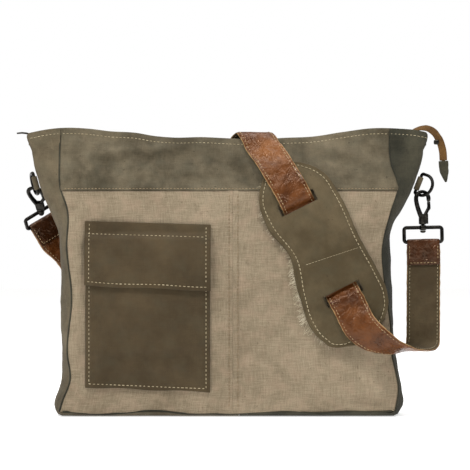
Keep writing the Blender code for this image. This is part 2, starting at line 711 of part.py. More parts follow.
# where each ring swings out to from its bar, where each hook pulls, how the hook is turned from
# the ring's wire, and how the strap's loop lies
SIDES = {
    "right": {"fold": right_fold, "sign": 1, "out": (0.66, -0.62, -0.42), "pull": (0.02, -0.01, -1.0),
              "turn": 30, "loop": (1, 0, 0.05), "strap": (0, 0, -1)},
    "left": {"fold": left_fold, "sign": -1, "out": (-0.15, 0.90, -0.42), "pull": (0.12, 0.76, -0.64),
             "turn": 30, "loop": (0.80, 0.25, 0.545), "strap": (0.62, 0.02, -0.78)},
}


def ring_frame(side):
    """The ring's plane: up is along its bar, across is out from the bar."""
    fold = side["fold"]
    low, high = RING_HEIGHT - 0.012, RING_HEIGHT + 0.012
    bar = unit((fold(high) - fold(low), 0, high - low))
    outwards = unit((bar[2] * side["sign"], 0, -bar[0] * side["sign"]))
    centre = np.array((fold(RING_HEIGHT), 0, RING_HEIGHT)) + RING_OUT * outwards
    swing = np.array(side["out"]) - np.dot(side["out"], bar) * bar
    return Frame(centre, swing, bar)


def ring_path(frame):
    half, corner = RING_HALF_BAR, 0.0020
    start = RING_DEPTH - RING_ROUND
    flat = [(0, -half + corner), (0, -half / 3), (0, half / 3), (0, half - corner)]
    flat += arc((corner, half - corner), corner, 180, 90, 3)[1:]
    flat += arc((start, 0), RING_ROUND, 90, -90, 11)
    flat += arc((corner, -half + corner), corner, -90, -180, 3)[:-1]
    return [frame.at(a, u) for a, u in flat]


def hook_frame(side):
    """The hook's plane: its origin is on the loop's boss, its top holds the ring's wire."""
    frame = ring_frame(side)
    pull = unit(side["pull"])
    path = ring_path(frame)
    held = max(range(len(path)), key=lambda i: float(np.dot(path[i], pull)))
    wire_way = unit(path[(held + 1) % len(path)] - path[held - 1])
    top = path[held] - pull * (RING_WIRE + WIRE + 0.0006)
    origin = top + pull * (HOOK_TOP + HOOK_ROUND)
    across = unit(np.cross(-pull, wire_way - np.dot(wire_way, pull) * pull))
    if across[0] < 0:
        across = -across
    return Frame(origin, across, -pull).turned(side["turn"])


def loop_frame(side):
    frame = hook_frame(side)
    return Frame(frame.origin, side["loop"], frame.up)


def make_fittings(which):
    side = SIDES[which]
    ring = ring_frame(side)
    d_ring = wire(f"{which}_d_ring", ring_path(ring), ring.normal, RING_WIRE, True)
    set_origin(d_ring, ring.origin)
    sleeve = wire(f"{which}_ring_tab", [ring.at(0, -SLEEVE_LENGTH / 2), ring.at(0, SLEEVE_LENGTH / 2)],
                  ring.normal, SLEEVE_OUT, False, "olive_canvas", 12)
    combine(sleeve, rod(f"{which}_sleeve_bore", ring.at(0, -0.02), ring.at(0, 0.02), SLEEVE_IN),
            "DIFFERENCE")

    hook = hook_frame(side)
    outline = list(HOOK_LEFT_SIDE) + arc((0, HOOK_TOP), HOOK_ROUND, 180, 0, 11)
    outline.append((HOOK_ROUND, HOOK_TIP))
    body = wire(f"{which}_hook_body", [hook.at(*p) for p in outline], hook.normal, WIRE, False)
    axes = (hook.across, hook.up, hook.normal)
    block = box(f"{which}_hook_block", hook.at(0.0004, 0.0066), axes, (0.0096, 0.0120, 0.0064))
    combine(body, block, "UNION")
    combine(body, rod(f"{which}_hook_stem", hook.at(0, 0.0040), hook.at(0, -0.0070), 0.0021), "UNION")
    combine(body, rod(f"{which}_hook_head", hook.at(0, -0.0066), hook.at(0, -0.0088), 0.0034), "UNION")
    slot = box(f"{which}_hook_slot", hook.at(0.0035, 0.0112), axes, (0.0080, 0.0104, 0.0034))
    combine(body, slot, "DIFFERENCE")
    pivot = np.array(GATE_PIVOT)
    bore = rod(f"{which}_hook_bore", hook.at(*pivot, -0.006), hook.at(*pivot, 0.006), 0.0010)
    combine(body, bore, "DIFFERENCE")
    set_origin(body, hook.origin)
    rod(f"{which}_gate_pin", hook.at(*pivot, -0.0034), hook.at(*pivot, 0.0034), 0.0009)

    way = unit(np.array(GATE_TIP) - pivot)
    gate = rod(f"{which}_hook_gate", hook.at(*(pivot + way * 0.0018)), hook.at(*GATE_TIP), 0.0013)
    eye = rod(f"{which}_gate_eye", hook.at(*pivot, -0.0013), hook.at(*pivot, 0.0002), 0.0026)
    combine(gate, eye, "UNION")
    gate_bore = rod(f"{which}_gate_bore", hook.at(*pivot, -0.004), hook.at(*pivot, 0.004), 0.0012)
    combine(gate, gate_bore, "DIFFERENCE")
    knob_at = pivot + way * 0.0120
    knob = box(f"{which}_gate_knob", hook.at(*knob_at), (hook.across, hook.up, hook.normal),
               (0.0044, 0.0036, 0.0030))
    combine(gate, knob, "UNION")
    set_origin(gate, hook.at(*pivot))
    coil = []
    for k in range(21):
        angle = 2 * math.pi * k / 10
        coil.append(hook.at(pivot[0] + 0.0016 * math.cos(angle), pivot[1] + 0.0016 * math.sin(angle),
                            0.0006 + 0.0003 * k / 10))
    wire(f"{which}_gate_spring", coil, hook.normal, 0.00013, False, sides=5)

    loop = loop_frame(side)
    half, corner = LOOP_HALF, LOOP_ROUND
    flat = arc((-half + corner, LOOP_TOP - corner), corner, 180, 90, 4)
    flat += arc((half - corner, LOOP_TOP - corner), corner, 90, 0, 4)
    flat += arc((half - corner, LOOP_BOTTOM + corner), corner, 0, -90, 4)
    flat += arc((-half + corner, LOOP_BOTTOM + corner), corner, -90, -180, 4)
    frame = wire(f"{which}_strap_loop", [loop.at(*p) for p in flat], loop.normal, WIRE, True)
    combine(frame, rod(f"{which}_boss", loop.at(0, -0.0060), loop.at(0, -0.0001), 0.0043), "UNION")
    combine(frame, rod(f"{which}_boss_bore", loop.at(0, -0.02), loop.at(0, 0.02), 0.0025), "DIFFERENCE")
    make_wrap(which)


def bar_frame(which):
    """The frame of the loop's bar that holds the strap: up is the way the strap leaves it."""
    loop = loop_frame(SIDES[which])
    down = np.array(SIDES[which]["strap"])
    return Frame(loop.at(0, LOOP_BOTTOM), loop.across, down - np.dot(down, loop.across) * loop.across)


def strap_end(which):
    bar = bar_frame(which)
    return [(bar.at(0, away), bar.across) for away in (0.0280, 0.0160, 0.0034)]


def make_wrap(which):
    """The leather piece that folds round the loop's bar and is sewn over the strap's end."""
    bar = bar_frame(which)
    radius = 0.0031
    path = [(-radius, WRAP_LENGTH), (-radius, 0.018), (-radius, 0.008)]
    path += [(-radius * math.cos(a), -radius * math.sin(a)) for a in np.linspace(0, math.pi, 7)]
    path += [(radius, 0.008), (radius, 0.018), (radius, WRAP_LENGTH)]
    route = [(bar.at(0, away, out), bar.across) for out, away in path]
    ribbon(f"strap_wrap_{which}", ribbon_frames(route), STRAP_WIDTH, -0.0006, 0.0006, "leather")



# ---- the zip, sunk between the two top edges ----

def make_zip():
    along, wide, high = np.eye(3)
    tape_width = TAPE_OUTER - TEETH_INNER - 0.0010
    length = ZIP_HALF_END - ZIP_HALF_START
    middle = (ZIP_HALF_END + ZIP_HALF_START) / 2
    for name, sign in (("front", -1), ("back", 1)):
        centre = sign * (TAPE_OUTER - tape_width / 2)
        tape = box(f"zip_tape_{name}", (middle, centre, ZIP_Z), (along, wide, high),
                   (length, tape_width, TAPE), "zip_tape")
        teeth = box(f"zip_teeth_{name}", (middle, sign * (TEETH_INNER + TEETH_OUTER) / 2, ZIP_Z),
                    (along, wide, high), (length, TEETH_OUTER - TEETH_INNER, TEETH_HEIGHT), "brass")
        slot = box(f"zip_slot_{name}", (middle, centre, ZIP_Z), (along, wide, high),
                   (length + 0.01, tape_width + 2 * TEETH_GAP, TAPE + 2 * TEETH_GAP))
        combine(teeth, slot, "DIFFERENCE")
        for obj in (tape, teeth):
            set_origin(obj, (0, sign * HINGE_Y, ZIP_Z))
    for name, start, end in (("left", ZIP_LEFT, ZIP_HALF_START), ("right", ZIP_HALF_END, ZIP_RIGHT)):
        size = end - start - 2 * GAP
        stub = box(f"zip_end_{name}", ((start + end) / 2, 0, ZIP_Z), (along, wide, high),
                   (size, 2 * TAPE_OUTER, TAPE), "zip_tape")
        slit = box(f"zip_slit_{name}", ((start + end) / 2 + math.copysign(0.0015, -start), 0, ZIP_Z),
                   (along, wide, high), (size, 2 * TEETH_INNER, 0.004))
        combine(stub, slit, "DIFFERENCE")

    axes = (along, wide, high)
    slider = box("zip_slider", (SLIDER_X, 0, ZIP_Z + 0.0023), axes, (SLIDER_LENGTH, 0.0080, 0.0010))
    combine(slider, box("slider_low", (SLIDER_X, 0, ZIP_Z - 0.0023), axes, (SLIDER_LENGTH, 0.0080, 0.0010)),
            "UNION")
    post = box("slider_post", (SLIDER_X - 0.0025, 0, ZIP_Z), axes, (0.0050, 0.0013, 0.0050))
    combine(slider, post, "UNION")
    for name, y in (("front", -0.0018), ("back", 0.0018)):
        lug = box(f"slider_lug_{name}", (PULL_PIVOT[0], y, ZIP_Z + 0.0035), axes, (0.0024, 0.0008, 0.0030))
        combine(slider, lug, "UNION")
    x, z = PULL_PIVOT
    combine(slider, rod("slider_bail", (x, -0.0020, z), (x, 0.0020, z), 0.0005), "UNION")
    set_origin(slider, (SLIDER_X, 0, ZIP_Z))

    tilt = math.radians(PULL_TILT)
    back = np.array((-math.cos(tilt), 0, math.sin(tilt)))
    top = np.array((math.sin(tilt), 0, math.cos(tilt)))
    pivot = np.array((x, 0, z))
    pull = rod("zip_pull", pivot + (0, -0.0012, 0), pivot + (0, 0.0012, 0), 0.0011)
    tab = box("pull_tab", pivot + back * (0.0008 + PULL_LENGTH / 2), (back, wide, top),
              (PULL_LENGTH, 0.0024, 0.0014))
    combine(pull, tab, "UNION")
    combine(pull, rod("pull_bore", pivot + (0, -0.01, 0), pivot + (0, 0.01, 0), 0.0007), "DIFFERENCE")
    set_origin(pull, pivot)

    tail = ribbon_frames(smooth_route(TAIL, 2))
    ribbon("zip_tail", tail, 0.0090, -0.0010, 0.0010, "zip_tape")
    cap = ribbon_frames(smooth_route(TAIL_CAP, 2))
    ribbon("zip_tail_cap", cap, 0.0104, -0.0017, 0.0017, "olive_canvas")


def main():
    clear_scene()
    make_materials()
    make_gussets()
    make_panels()
    make_lining()
    make_pocket()
    make_strap()
    make_pad()
    for which in SIDES:
        make_fittings(which)
    make_zip()


main()
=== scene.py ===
"""Looks of the messenger bag: a canvas and linen body, a flap pocket, a leather-faced strap with
a canvas shoulder pad, swivel snap hooks and a zip.

Metres, +Z up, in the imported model's frame: the front faces -Y and the base stands on z = 0.
"""
import json
import math
import random

import bpy
import numpy as np
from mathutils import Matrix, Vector, noise

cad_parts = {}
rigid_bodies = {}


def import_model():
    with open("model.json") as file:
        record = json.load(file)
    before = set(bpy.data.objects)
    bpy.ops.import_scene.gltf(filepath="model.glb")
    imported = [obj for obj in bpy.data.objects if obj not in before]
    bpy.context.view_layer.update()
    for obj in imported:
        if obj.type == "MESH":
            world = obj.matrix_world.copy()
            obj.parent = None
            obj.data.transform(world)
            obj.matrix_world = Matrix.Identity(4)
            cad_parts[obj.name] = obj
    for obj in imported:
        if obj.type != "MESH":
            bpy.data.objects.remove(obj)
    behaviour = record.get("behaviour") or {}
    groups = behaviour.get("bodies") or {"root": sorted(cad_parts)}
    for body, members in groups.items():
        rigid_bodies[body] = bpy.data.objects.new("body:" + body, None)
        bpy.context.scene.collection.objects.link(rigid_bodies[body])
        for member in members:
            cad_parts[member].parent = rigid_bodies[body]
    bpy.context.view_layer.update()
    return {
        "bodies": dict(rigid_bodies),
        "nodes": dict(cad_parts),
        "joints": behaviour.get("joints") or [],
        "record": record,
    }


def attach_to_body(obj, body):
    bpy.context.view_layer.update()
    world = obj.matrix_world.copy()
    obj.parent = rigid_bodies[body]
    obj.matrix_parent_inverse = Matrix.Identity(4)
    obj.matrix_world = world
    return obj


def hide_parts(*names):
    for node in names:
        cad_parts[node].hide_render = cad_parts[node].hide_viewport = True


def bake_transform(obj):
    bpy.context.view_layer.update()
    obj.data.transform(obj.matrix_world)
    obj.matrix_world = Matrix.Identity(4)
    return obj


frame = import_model()
random.seed(7)
SCENE = bpy.context.scene

# ---- camera, floor and light ----

VIEW_CENTRE = (0.008, 0.212)
VIEW_WIDTH = 0.545
VIEW_DISTANCE = 2.5
FRONT_Y = -0.050
ROOM_LIGHT = 0.42
FLOOR_GLOW = 0.62
LIGHTS = [("key", (-0.9, -1.0, 1.9), 0.6, 27), ("top", (0.2, 0.3, 1.8), 1.0, 12),
          ("glint", (0.55, -1.15, 1.9), 0.18, 15)]


def srgb(r, g, b):
    """A linear colour from 0-255 values."""
    out = []
    for c in (r, g, b):
        c /= 255
        out.append(c / 12.92 if c <= 0.04045 else ((c + 0.055) / 1.055) ** 2.4)
    return (*out, 1.0)


def make_stage():
    camera = bpy.data.objects.new("camera", bpy.data.cameras.new("camera"))
    SCENE.collection.objects.link(camera)
    camera.location = (VIEW_CENTRE[0], FRONT_Y - VIEW_DISTANCE, VIEW_CENTRE[1])
    camera.rotation_euler = (math.pi / 2, 0, 0)
    camera.data.sensor_width = 36
    camera.data.lens = 36 * VIEW_DISTANCE / VIEW_WIDTH
    SCENE.camera = camera
    SCENE.view_settings.view_transform = "Standard"

    mesh = bpy.data.meshes.new("floor")
    mesh.from_pydata([(-6, -6, 0), (6, -6, 0), (6, 6, 0), (-6, 6, 0)], [], [(0, 1, 2, 3)])
    floor = bpy.data.objects.new("floor", mesh)
    SCENE.collection.objects.link(floor)
    material = bpy.data.materials.new("floor")
    material.use_nodes = True
    shader = material.node_tree.nodes["Principled BSDF"]
    shader.inputs["Base Color"].default_value = (0.86, 0.86, 0.86, 1)
    shader.inputs["Roughness"].default_value = 0.9
    shader.inputs["Specular IOR Level"].default_value = 0.0
    shader.inputs["Emission Color"].default_value = (1, 1, 1, 1)
    shader.inputs["Emission Strength"].default_value = FLOOR_GLOW
    mesh.materials.append(material)

    world = bpy.data.worlds.new("studio")
    world.use_nodes = True
    nodes, links = world.node_tree.nodes, world.node_tree.links
    backdrop = nodes["Background"]
    backdrop.inputs["Color"].default_value = (1, 1, 1, 1)
    room = nodes.new("ShaderNodeBackground")
    room.inputs["Color"].default_value = (1.0, 0.99, 0.975, 1)
    room.inputs["Strength"].default_value = ROOM_LIGHT
    pick = nodes.new("ShaderNodeMixShader")
    links.new(nodes.new("ShaderNodeLightPath").outputs["Is Camera Ray"], pick.inputs[0])
    links.new(room.outputs[0], pick.inputs[1])
    links.new(backdrop.outputs[0], pick.inputs[2])
    links.new(pick.outputs[0], nodes["World Output"].inputs["Surface"])
    SCENE.world = world
    for name, place, size, power in LIGHTS:
        light = bpy.data.lights.new(name, "AREA")
        light.size = size
        light.energy = power
        lamp = bpy.data.objects.new(name, light)
        lamp.location = place
        lamp.rotation_euler = (Vector((0, 0, 0.18)) - Vector(place)).to_track_quat("-Z", "Y").to_euler()
        SCENE.collection.objects.link(lamp)


# ---- materials ----

MATERIALS = {}


class Nodes:
    """A short way to write a material's node tree."""

    def __init__(self, name):
        self.material = bpy.data.materials.new(name)
        self.material.use_nodes = True
        self.tree = self.material.node_tree
        self.shader = self.tree.nodes["Principled BSDF"]
        MATERIALS[name] = self.material

    def add(self, kind, _inputs=None, **settings):
        node = self.tree.nodes.new("ShaderNode" + kind)
        for key, value in settings.items():
            setattr(node, key, value)
        for key, value in (_inputs or {}).items():
            self.put(node.inputs[key], value)
        return node

    def put(self, socket, value):
        if isinstance(value, bpy.types.NodeSocket):
            self.tree.links.new(value, socket)
        else:
            socket.default_value = value

    def set(self, name, value):
        self.put(self.shader.inputs[name], value)

    def maths(self, operation, a, b=0.0, clamp=False):
        node = self.add("Math", {0: a, 1: b}, operation=operation, use_clamp=clamp)
        return node.outputs[0]

    def coords(self, kind="Object", scale=(1, 1, 1), turn=0.0):
        source = self.add("TexCoord").outputs[kind]
        return self.add("Mapping", {"Vector": source, "Scale": scale,
                                    "Rotation": (0, 0, turn)}).outputs[0]

    def noise(self, where, scale, detail=3.0, rough=0.55, distortion=0.0):
        return self.add("TexNoise", {"Vector": where, "Scale": scale, "Detail": detail,
                                     "Roughness": rough, "Distortion": distortion}).outputs[0]

    def ramp(self, value, low, high, low_value=0.0, high_value=1.0):
        return self.add("MapRange", {"Value": value, "From Min": low, "From Max": high,
                                     "To Min": low_value, "To Max": high_value}).outputs[0]

    def mix(self, share, a, b, blend="MIX"):
        node = self.add("Mix", data_type="RGBA", blend_type=blend)
        self.put(node.inputs[0], share)
        self.put(node.inputs[6], a)
        self.put(node.inputs[7], b)
        return node.outputs[2]

    def bump(self, height, distance, strength=1.0, normal=None):
        inputs = {"Height": height, "Distance": distance, "Strength": strength}
        if normal is not None:
            inputs["Normal"] = normal
        return self.add("Bump", inputs).outputs[0]


def woven(name, dark, light, pitch, slub=0.5, stain=None, tint=None, sheen=0.04, soft=1.0, cloud=1.0):
    """Plain-woven cloth. The UV map is in metres on the flat cloth, so the threads keep their
    size. Warp and weft show as crossed waves, with slubs, mottling and washed-out patches."""
    n = Nodes(name)
    flat = n.coords("UV")
    bend = n.noise(n.coords("UV"), 55.0, 2.0)
    warp = n.add("TexWave", {"Vector": flat, "Scale": 0.314 / pitch, "Distortion": 0.7,
                             "Detail": 1.0, "Detail Scale": 0.5}, bands_direction="X").outputs[0]
    weft = n.add("TexWave", {"Vector": flat, "Scale": 0.314 / pitch, "Distortion": 0.7,
                             "Detail": 1.0, "Detail Scale": 0.5}, bands_direction="Y").outputs[0]
    weave = n.maths("MAXIMUM", warp, weft)
    long_slubs = n.noise(n.coords("UV", (60, 900, 1)), 1.0, 3.0)
    tall_slubs = n.noise(n.coords("UV", (900, 60, 1)), 1.0, 3.0)
    slubs = n.maths("ADD", n.ramp(long_slubs, 0.35, 0.7), n.ramp(tall_slubs, 0.35, 0.7))
    grain = n.noise(flat, 900.0, 2.0, 0.7)
    patches = n.noise(n.coords("Object"), 9.0, 4.0, 0.6, 0.4)
    mottle = n.noise(n.coords("Object"), 38.0, 4.0, 0.65)
    share = n.maths("ADD", n.ramp(patches, 0.36, 0.64, 0.26 - 0.36 * cloud, 0.26 + 0.36 * cloud),
                    n.ramp(mottle, 0.32, 0.68, 0.06 - 0.28 * cloud, 0.06 + 0.28 * cloud))
    share = n.maths("ADD", share, n.maths("MULTIPLY", n.maths("SUBTRACT", slubs, 0.9), 0.30 * slub))
    share = n.maths("ADD", share, n.maths("MULTIPLY", n.maths("SUBTRACT", grain, 0.5), 0.55 * slub + 0.1))
    share = n.maths("ADD", share, n.maths("MULTIPLY", n.maths("SUBTRACT", weave, 0.7), 0.25), True)
    colour = n.mix(share, dark, light)
    if tint is not None:
        colour = n.mix(n.ramp(bend, 0.45, 0.75, 0.0, 0.35), colour, tint)
    if stain is not None:
        spots = n.noise(n.coords("Object", (1, 1, 1.3)), 30.0, 5.0, 0.7, 0.6)
        colour = n.mix(n.ramp(spots, 0.62, 0.78, 0.0, 0.45), colour, stain)
        specks = n.noise(n.coords("Object"), 310.0, 1.0, 0.4)
        colour = n.mix(n.ramp(specks, 0.73, 0.79, 0.0, 0.55), colour, stain)
    n.set("Base Color", colour)
    n.set("Roughness", n.ramp(grain, 0, 1, 0.82, 0.97))
    n.set("Sheen Weight", sheen)
    n.set("Sheen Roughness", 0.6)
    n.set("Specular IOR Level", 0.15)
    height = n.maths("ADD", n.maths("MULTIPLY", weave, 0.6),
                     n.maths("ADD", n.maths("MULTIPLY", slubs, 0.35 * slub), grain))
    normal = n.bump(n.noise(n.coords("Object"), 70.0, 4.0, 0.6), 0.0016 * soft, 0.7)
    n.set("Normal", n.bump(height, 0.00030, 0.8, normal))
    return n


def leather(name, dark, mid, light, gloss=0.30):
    """Waxed pull-up leather: pores, fine creases, mottled tone, and a glossy finish."""
    n = Nodes(name)
    where = n.coords("Object")
    clouds = n.noise(where, 42.0, 5.0, 0.62, 0.5)
    fine = n.noise(where, 210.0, 4.0, 0.6)
    colour = n.mix(n.ramp(clouds, 0.34, 0.66), dark, mid)
    colour = n.mix(n.ramp(n.noise(where, 18.0, 3.0), 0.52, 0.75, 0.0, 0.8), colour, light)
    colour = n.mix(n.ramp(fine, 0.55, 0.75, 0.0, 0.4), colour, dark)
    pores = n.add("TexVoronoi", {"Vector": where, "Scale": 900.0}).outputs["Distance"]
    cells = n.add("TexVoronoi", {"Vector": n.coords("Object", (1, 1, 0.6)), "Scale": 330.0},
                  feature="DISTANCE_TO_EDGE").outputs["Distance"]
    creases = n.ramp(cells, 0.0, 0.12)
    n.set("Base Color", colour)
    n.set("Roughness", n.maths("ADD", n.ramp(clouds, 0.3, 0.7, gloss - 0.06, gloss + 0.16),
                               n.ramp(fine, 0.3, 0.7, -0.04, 0.06)))
    n.set("Coat Weight", 0.06)
    n.set("Coat Roughness", 0.16)
    n.set("Specular IOR Level", 0.45)
    n.set("Specular Tint", srgb(255, 214, 182))
    height = n.maths("ADD", n.maths("MULTIPLY", creases, 0.5), n.maths("MULTIPLY", pores, 0.5))
    away = n.maths("ABSOLUTE", n.maths("SUBTRACT", n.noise(where, 62.0, 2.0, 0.5, 1.6), 0.5))
    normal = n.bump(n.ramp(away, 0.0, 0.09, 1.0, 0.0), 0.0006, 0.5)
    normal = n.bump(n.noise(where, 80.0, 3.0, 0.5, 1.2), 0.0034, 0.75, normal)
    n.set("Normal", n.bump(height, 0.00006, 0.35, normal))
    return n


def metal(name, colour, worn, rough):
    n = Nodes(name)
    where = n.coords("Object")
    patches = n.noise(where, 160.0, 4.0, 0.6)
    edge = n.ramp(n.add("NewGeometry").outputs["Pointiness"], 0.52, 0.60)
    share = n.maths("ADD", n.ramp(patches, 0.55, 0.8, 0.0, 0.5), n.maths("MULTIPLY", edge, 0.6), True)
    n.set("Base Color", n.mix(share, colour, worn))
    n.set("Metallic", 1.0)
    n.set("Roughness", n.ramp(patches, 0.3, 0.7, rough - 0.08, rough + 0.12))
    n.set("Normal", n.bump(n.noise(where, 700.0, 3.0), 0.00012, 0.5))
    return n


def thread(name, colour, dark):
    """Sewing thread: a fine twist along each stitch, a little soiled."""
    n = Nodes(name)
    where = n.coords("Object")
    n.set("Base Color", n.mix(n.ramp(n.noise(where, 60.0, 3.0), 0.3, 0.7), dark, colour))
    n.set("Roughness", 0.8)
    n.set("Specular IOR Level", 0.2)
    twist = n.add("TexWave", {"Vector": where, "Scale": 450.0, "Distortion": 1.0},
                  bands_direction="DIAGONAL").outputs[0]
    n.set("Normal", n.bump(twist, 0.00008, 0.6))
    return n


def make_materials():
    woven("band_canvas", srgb(68, 61, 46), srgb(120, 109, 88), 0.00062, 0.40,
          stain=srgb(46, 41, 30), tint=srgb(84, 82, 68), soft=1.5)
    woven("side_canvas", srgb(72, 63, 47), srgb(116, 104, 82), 0.00062, 0.40, stain=srgb(56, 50, 38),
          tint=srgb(88, 85, 68), soft=1.5)
    woven("grey_canvas", srgb(38, 37, 28), srgb(76, 72, 57), 0.00062, 0.40, stain=srgb(30, 30, 23),
          tint=srgb(54, 55, 45), soft=1.5)
    woven("pocket_canvas", srgb(62, 51, 34), srgb(90, 76, 54), 0.00055, 0.30, tint=srgb(74, 69, 53),
          soft=0.8, cloud=0.6)
    woven("pad_canvas", srgb(72, 61, 41), srgb(102, 89, 66), 0.00055, 0.30, stain=srgb(62, 52, 36),
          tint=srgb(74, 70, 53), soft=1.2)
    woven("strap_canvas", srgb(66, 54, 36), srgb(98, 84, 61), 0.00060, 0.35, stain=srgb(48, 40, 27),
          tint=srgb(70, 64, 47), soft=1.0)
    woven("linen", srgb(112, 99, 79), srgb(170, 155, 130), 0.00078, 1.0, stain=srgb(88, 75, 58),
          tint=srgb(166, 142, 120), soft=1.4, cloud=0.34)
    woven("lining_cotton", srgb(150, 138, 112), srgb(182, 170, 142), 0.00050, 0.3)
    woven("zip_tape", srgb(86, 64, 34), srgb(132, 102, 58), 0.00050, 0.3)
    woven("tail_tape", srgb(66, 44, 20), srgb(116, 84, 44), 0.00050, 0.5)
    leather("strap_leather", srgb(58, 27, 7), srgb(94, 51, 17), srgb(126, 76, 32), 0.26)
    leather("wrap_leather", srgb(30, 12, 2), srgb(54, 25, 6), srgb(84, 42, 14), 0.22)
    leather("leather_edge", srgb(130, 98, 60), srgb(172, 138, 92), srgb(190, 158, 112), 0.6)
    metal("gunmetal", srgb(19, 19, 19), srgb(84, 80, 72), 0.30)
    metal("brass", srgb(110, 82, 42), srgb(168, 138, 88), 0.35)
    thread("cream_thread", srgb(196, 182, 150), srgb(152, 138, 108))
    thread("linen_thread", srgb(168, 148, 116), srgb(126, 108, 82))
    thread("seam_thread", srgb(142, 122, 94), srgb(108, 90, 66))
    thread("tan_thread", srgb(192, 170, 130), srgb(140, 116, 82))
    thread("fray_thread", srgb(206, 196, 172), srgb(150, 138, 108))


# ---- the bag's outer skin ----

CLOTH = 0.0016
SEAM_BOTTOM = 0.0045
BASE_MIDDLE = 0.0128
BAND_SEAM = 0.2640
RIM_STITCH = 0.0068
PANEL_SEAM_X = 0.0064
NOTCH_HALF = 0.0026
NOTCH_Z = 0.3270
# (height, x) of the side seams and of the gusset folds, as in the CAD
LEFT_SEAM = [(0.004, -0.197), (0.018, -0.193), (0.042, -0.184), (0.075, -0.187), (0.140, -0.182),
             (0.198, -0.188), (0.243, -0.188), (0.266, -0.196), (0.300, -0.198), (0.345, -0.198)]
RIGHT_SEAM = [(0.004, 0.194), (0.030, 0.198), (0.078, 0.190), (0.107, 0.189), (0.150, 0.183),
              (0.198, 0.180), (0.242, 0.191), (0.268, 0.199), (0.297, 0.191), (0.345, 0.191)]
LEFT_FOLD = [(0.004, -0.203), (0.015, -0.205), (0.030, -0.200), (0.055, -0.196), (0.120, -0.198),
             (0.198, -0.199), (0.215, -0.201), (0.262, -0.220), (0.291, -0.228), (0.345, -0.242)]
RIGHT_FOLD = [(0.004, 0.202), (0.015, 0.206), (0.030, 0.205), (0.055, 0.199), (0.101, 0.194),
              (0.184, 0.193), (0.219, 0.193), (0.242, 0.206), (0.285, 0.225), (0.345, 0.239)]
HALF_DEPTH = [(0.004, 0.0420), (0.050, 0.0430), (0.120, 0.0430), (0.200, 0.0400),
              (0.250, 0.0330), (0.290, 0.0220), (0.315, 0.0125), (0.330, 0.0075), (0.345, 0.0070)]
BULGE = [(0.004, 0.0), (0.040, 0.0035), (0.110, 0.0065), (0.170, 0.0070), (0.230, 0.0060),
         (0.290, 0.0030), (0.330, 0.0), (0.345, 0.0)]
GUSSET_POWER = [(0.004, 2.6), (0.200, 2.2), (0.260, 2.4), (0.330, 5.0), (0.345, 5.0)]
RIM = [(-0.242, 0.3300), (-0.236, 0.3322), (-0.230, 0.3336), (-0.194, 0.3385),
       (-0.165, 0.3375), (-0.140, 0.3345),
       (-0.108, 0.3325), (-0.088, 0.3290), (-0.065, 0.3270), (-0.030, 0.3275), (-0.006, 0.3264),
       (0.015, 0.3254), (0.045, 0.3254), (0.066, 0.3266), (0.098, 0.3280), (0.135, 0.3335),
       (0.170, 0.3380), (0.202, 0.3375), (0.222, 0.3358), (0.232, 0.3338), (0.240, 0.3315)]
# soft creases of the front, as (x, z) ends, width and height; below 0 is a valley
FRONT_FOLDS = [
    ((0.075, 0.012), (0.165, 0.030), 0.0085, 0.0030), ((0.090, 0.020), (0.185, 0.018), 0.0060, -0.0022),
    ((0.130, 0.044), (0.186, 0.030), 0.0110, 0.0018), ((-0.175, 0.012), (-0.150, 0.060), 0.0080, 0.0022),
    ((-0.160, 0.010), (-0.095, 0.022), 0.0070, 0.0022), ((-0.182, 0.030), (-0.160, 0.020), 0.0050, -0.0020),
    ((-0.040, 0.008), (0.040, 0.014), 0.0075, 0.0020), ((0.020, 0.028), (0.075, 0.016), 0.0070, -0.0016),
    ((-0.178, 0.080), (-0.174, 0.240), 0.0060, 0.0016), ((-0.168, 0.070), (-0.166, 0.200), 0.0050, -0.0010),
    ((0.166, 0.070), (0.158, 0.180), 0.0110, 0.0014), ((-0.150, 0.308), (-0.060, 0.316), 0.0060, 0.0018),
    ((-0.130, 0.298), (-0.040, 0.304), 0.0070, -0.0016), ((-0.175, 0.322), (-0.120, 0.300), 0.0070, 0.0012),
    ((-0.020, 0.300), (0.010, 0.286), 0.0080, -0.0012), ((0.110, 0.316), (0.170, 0.300), 0.0070, 0.0016),
    ((0.120, 0.300), (0.180, 0.284), 0.0065, -0.0014), ((0.130, 0.330), (0.184, 0.318), 0.0050, 0.0010),
    ((-0.185, 0.290), (-0.130, 0.278), 0.0060, 0.0012), ((-0.100, 0.276), (0.0, 0.280), 0.0050, -0.0008),
    ((-0.060, 0.240), (0.060, 0.235), 0.0140, -0.0014), ((0.030, 0.060), (0.090, 0.070), 0.0120, 0.0012),
]


def table(pairs):
    """A smooth function through (place, value) pairs: cubic pieces with finite-difference slopes."""
    place, value = np.array(pairs, float).T
    slope = np.gradient(value, place)

    def at(t):
        t = np.clip(t, place[0], place[-1])
        i = np.clip(np.searchsorted(place, t) - 1, 0, len(place) - 2)
        step = place[i + 1] - place[i]
        s = (t - place[i]) / step
        a, b = value[i], value[i + 1]
        return (a * (1 + 2 * s) * (1 - s) ** 2 + b * s * s * (3 - 2 * s)
                + step * (slope[i] * s * (1 - s) ** 2 - slope[i + 1] * s * s * (1 - s)))

    return at


left_seam, right_seam = table(LEFT_SEAM), table(RIGHT_SEAM)
left_fold, right_fold = table(LEFT_FOLD), table(RIGHT_FOLD)
half_depth, bulge, gusset_power, rim = map(table, (HALF_DEPTH, BULGE, GUSSET_POWER, RIM))


def unit(v):
    v = np.array(v, float)
    return v / np.linalg.norm(v)


def skin_y(x, z):
    """Half the bag's depth at a point of the front or back, to the outside of the cloth."""
    low, high = left_seam(z), right_seam(z)
    across = (2 * x - low - high) / (high - low)
    return half_depth(z) + bulge(z) * np.maximum(0.0, 1 - across * across)


def rough(x, z, size, seed=0.0):
    return noise.noise(Vector((x / size + seed, z / size - seed, seed * 1.7)))


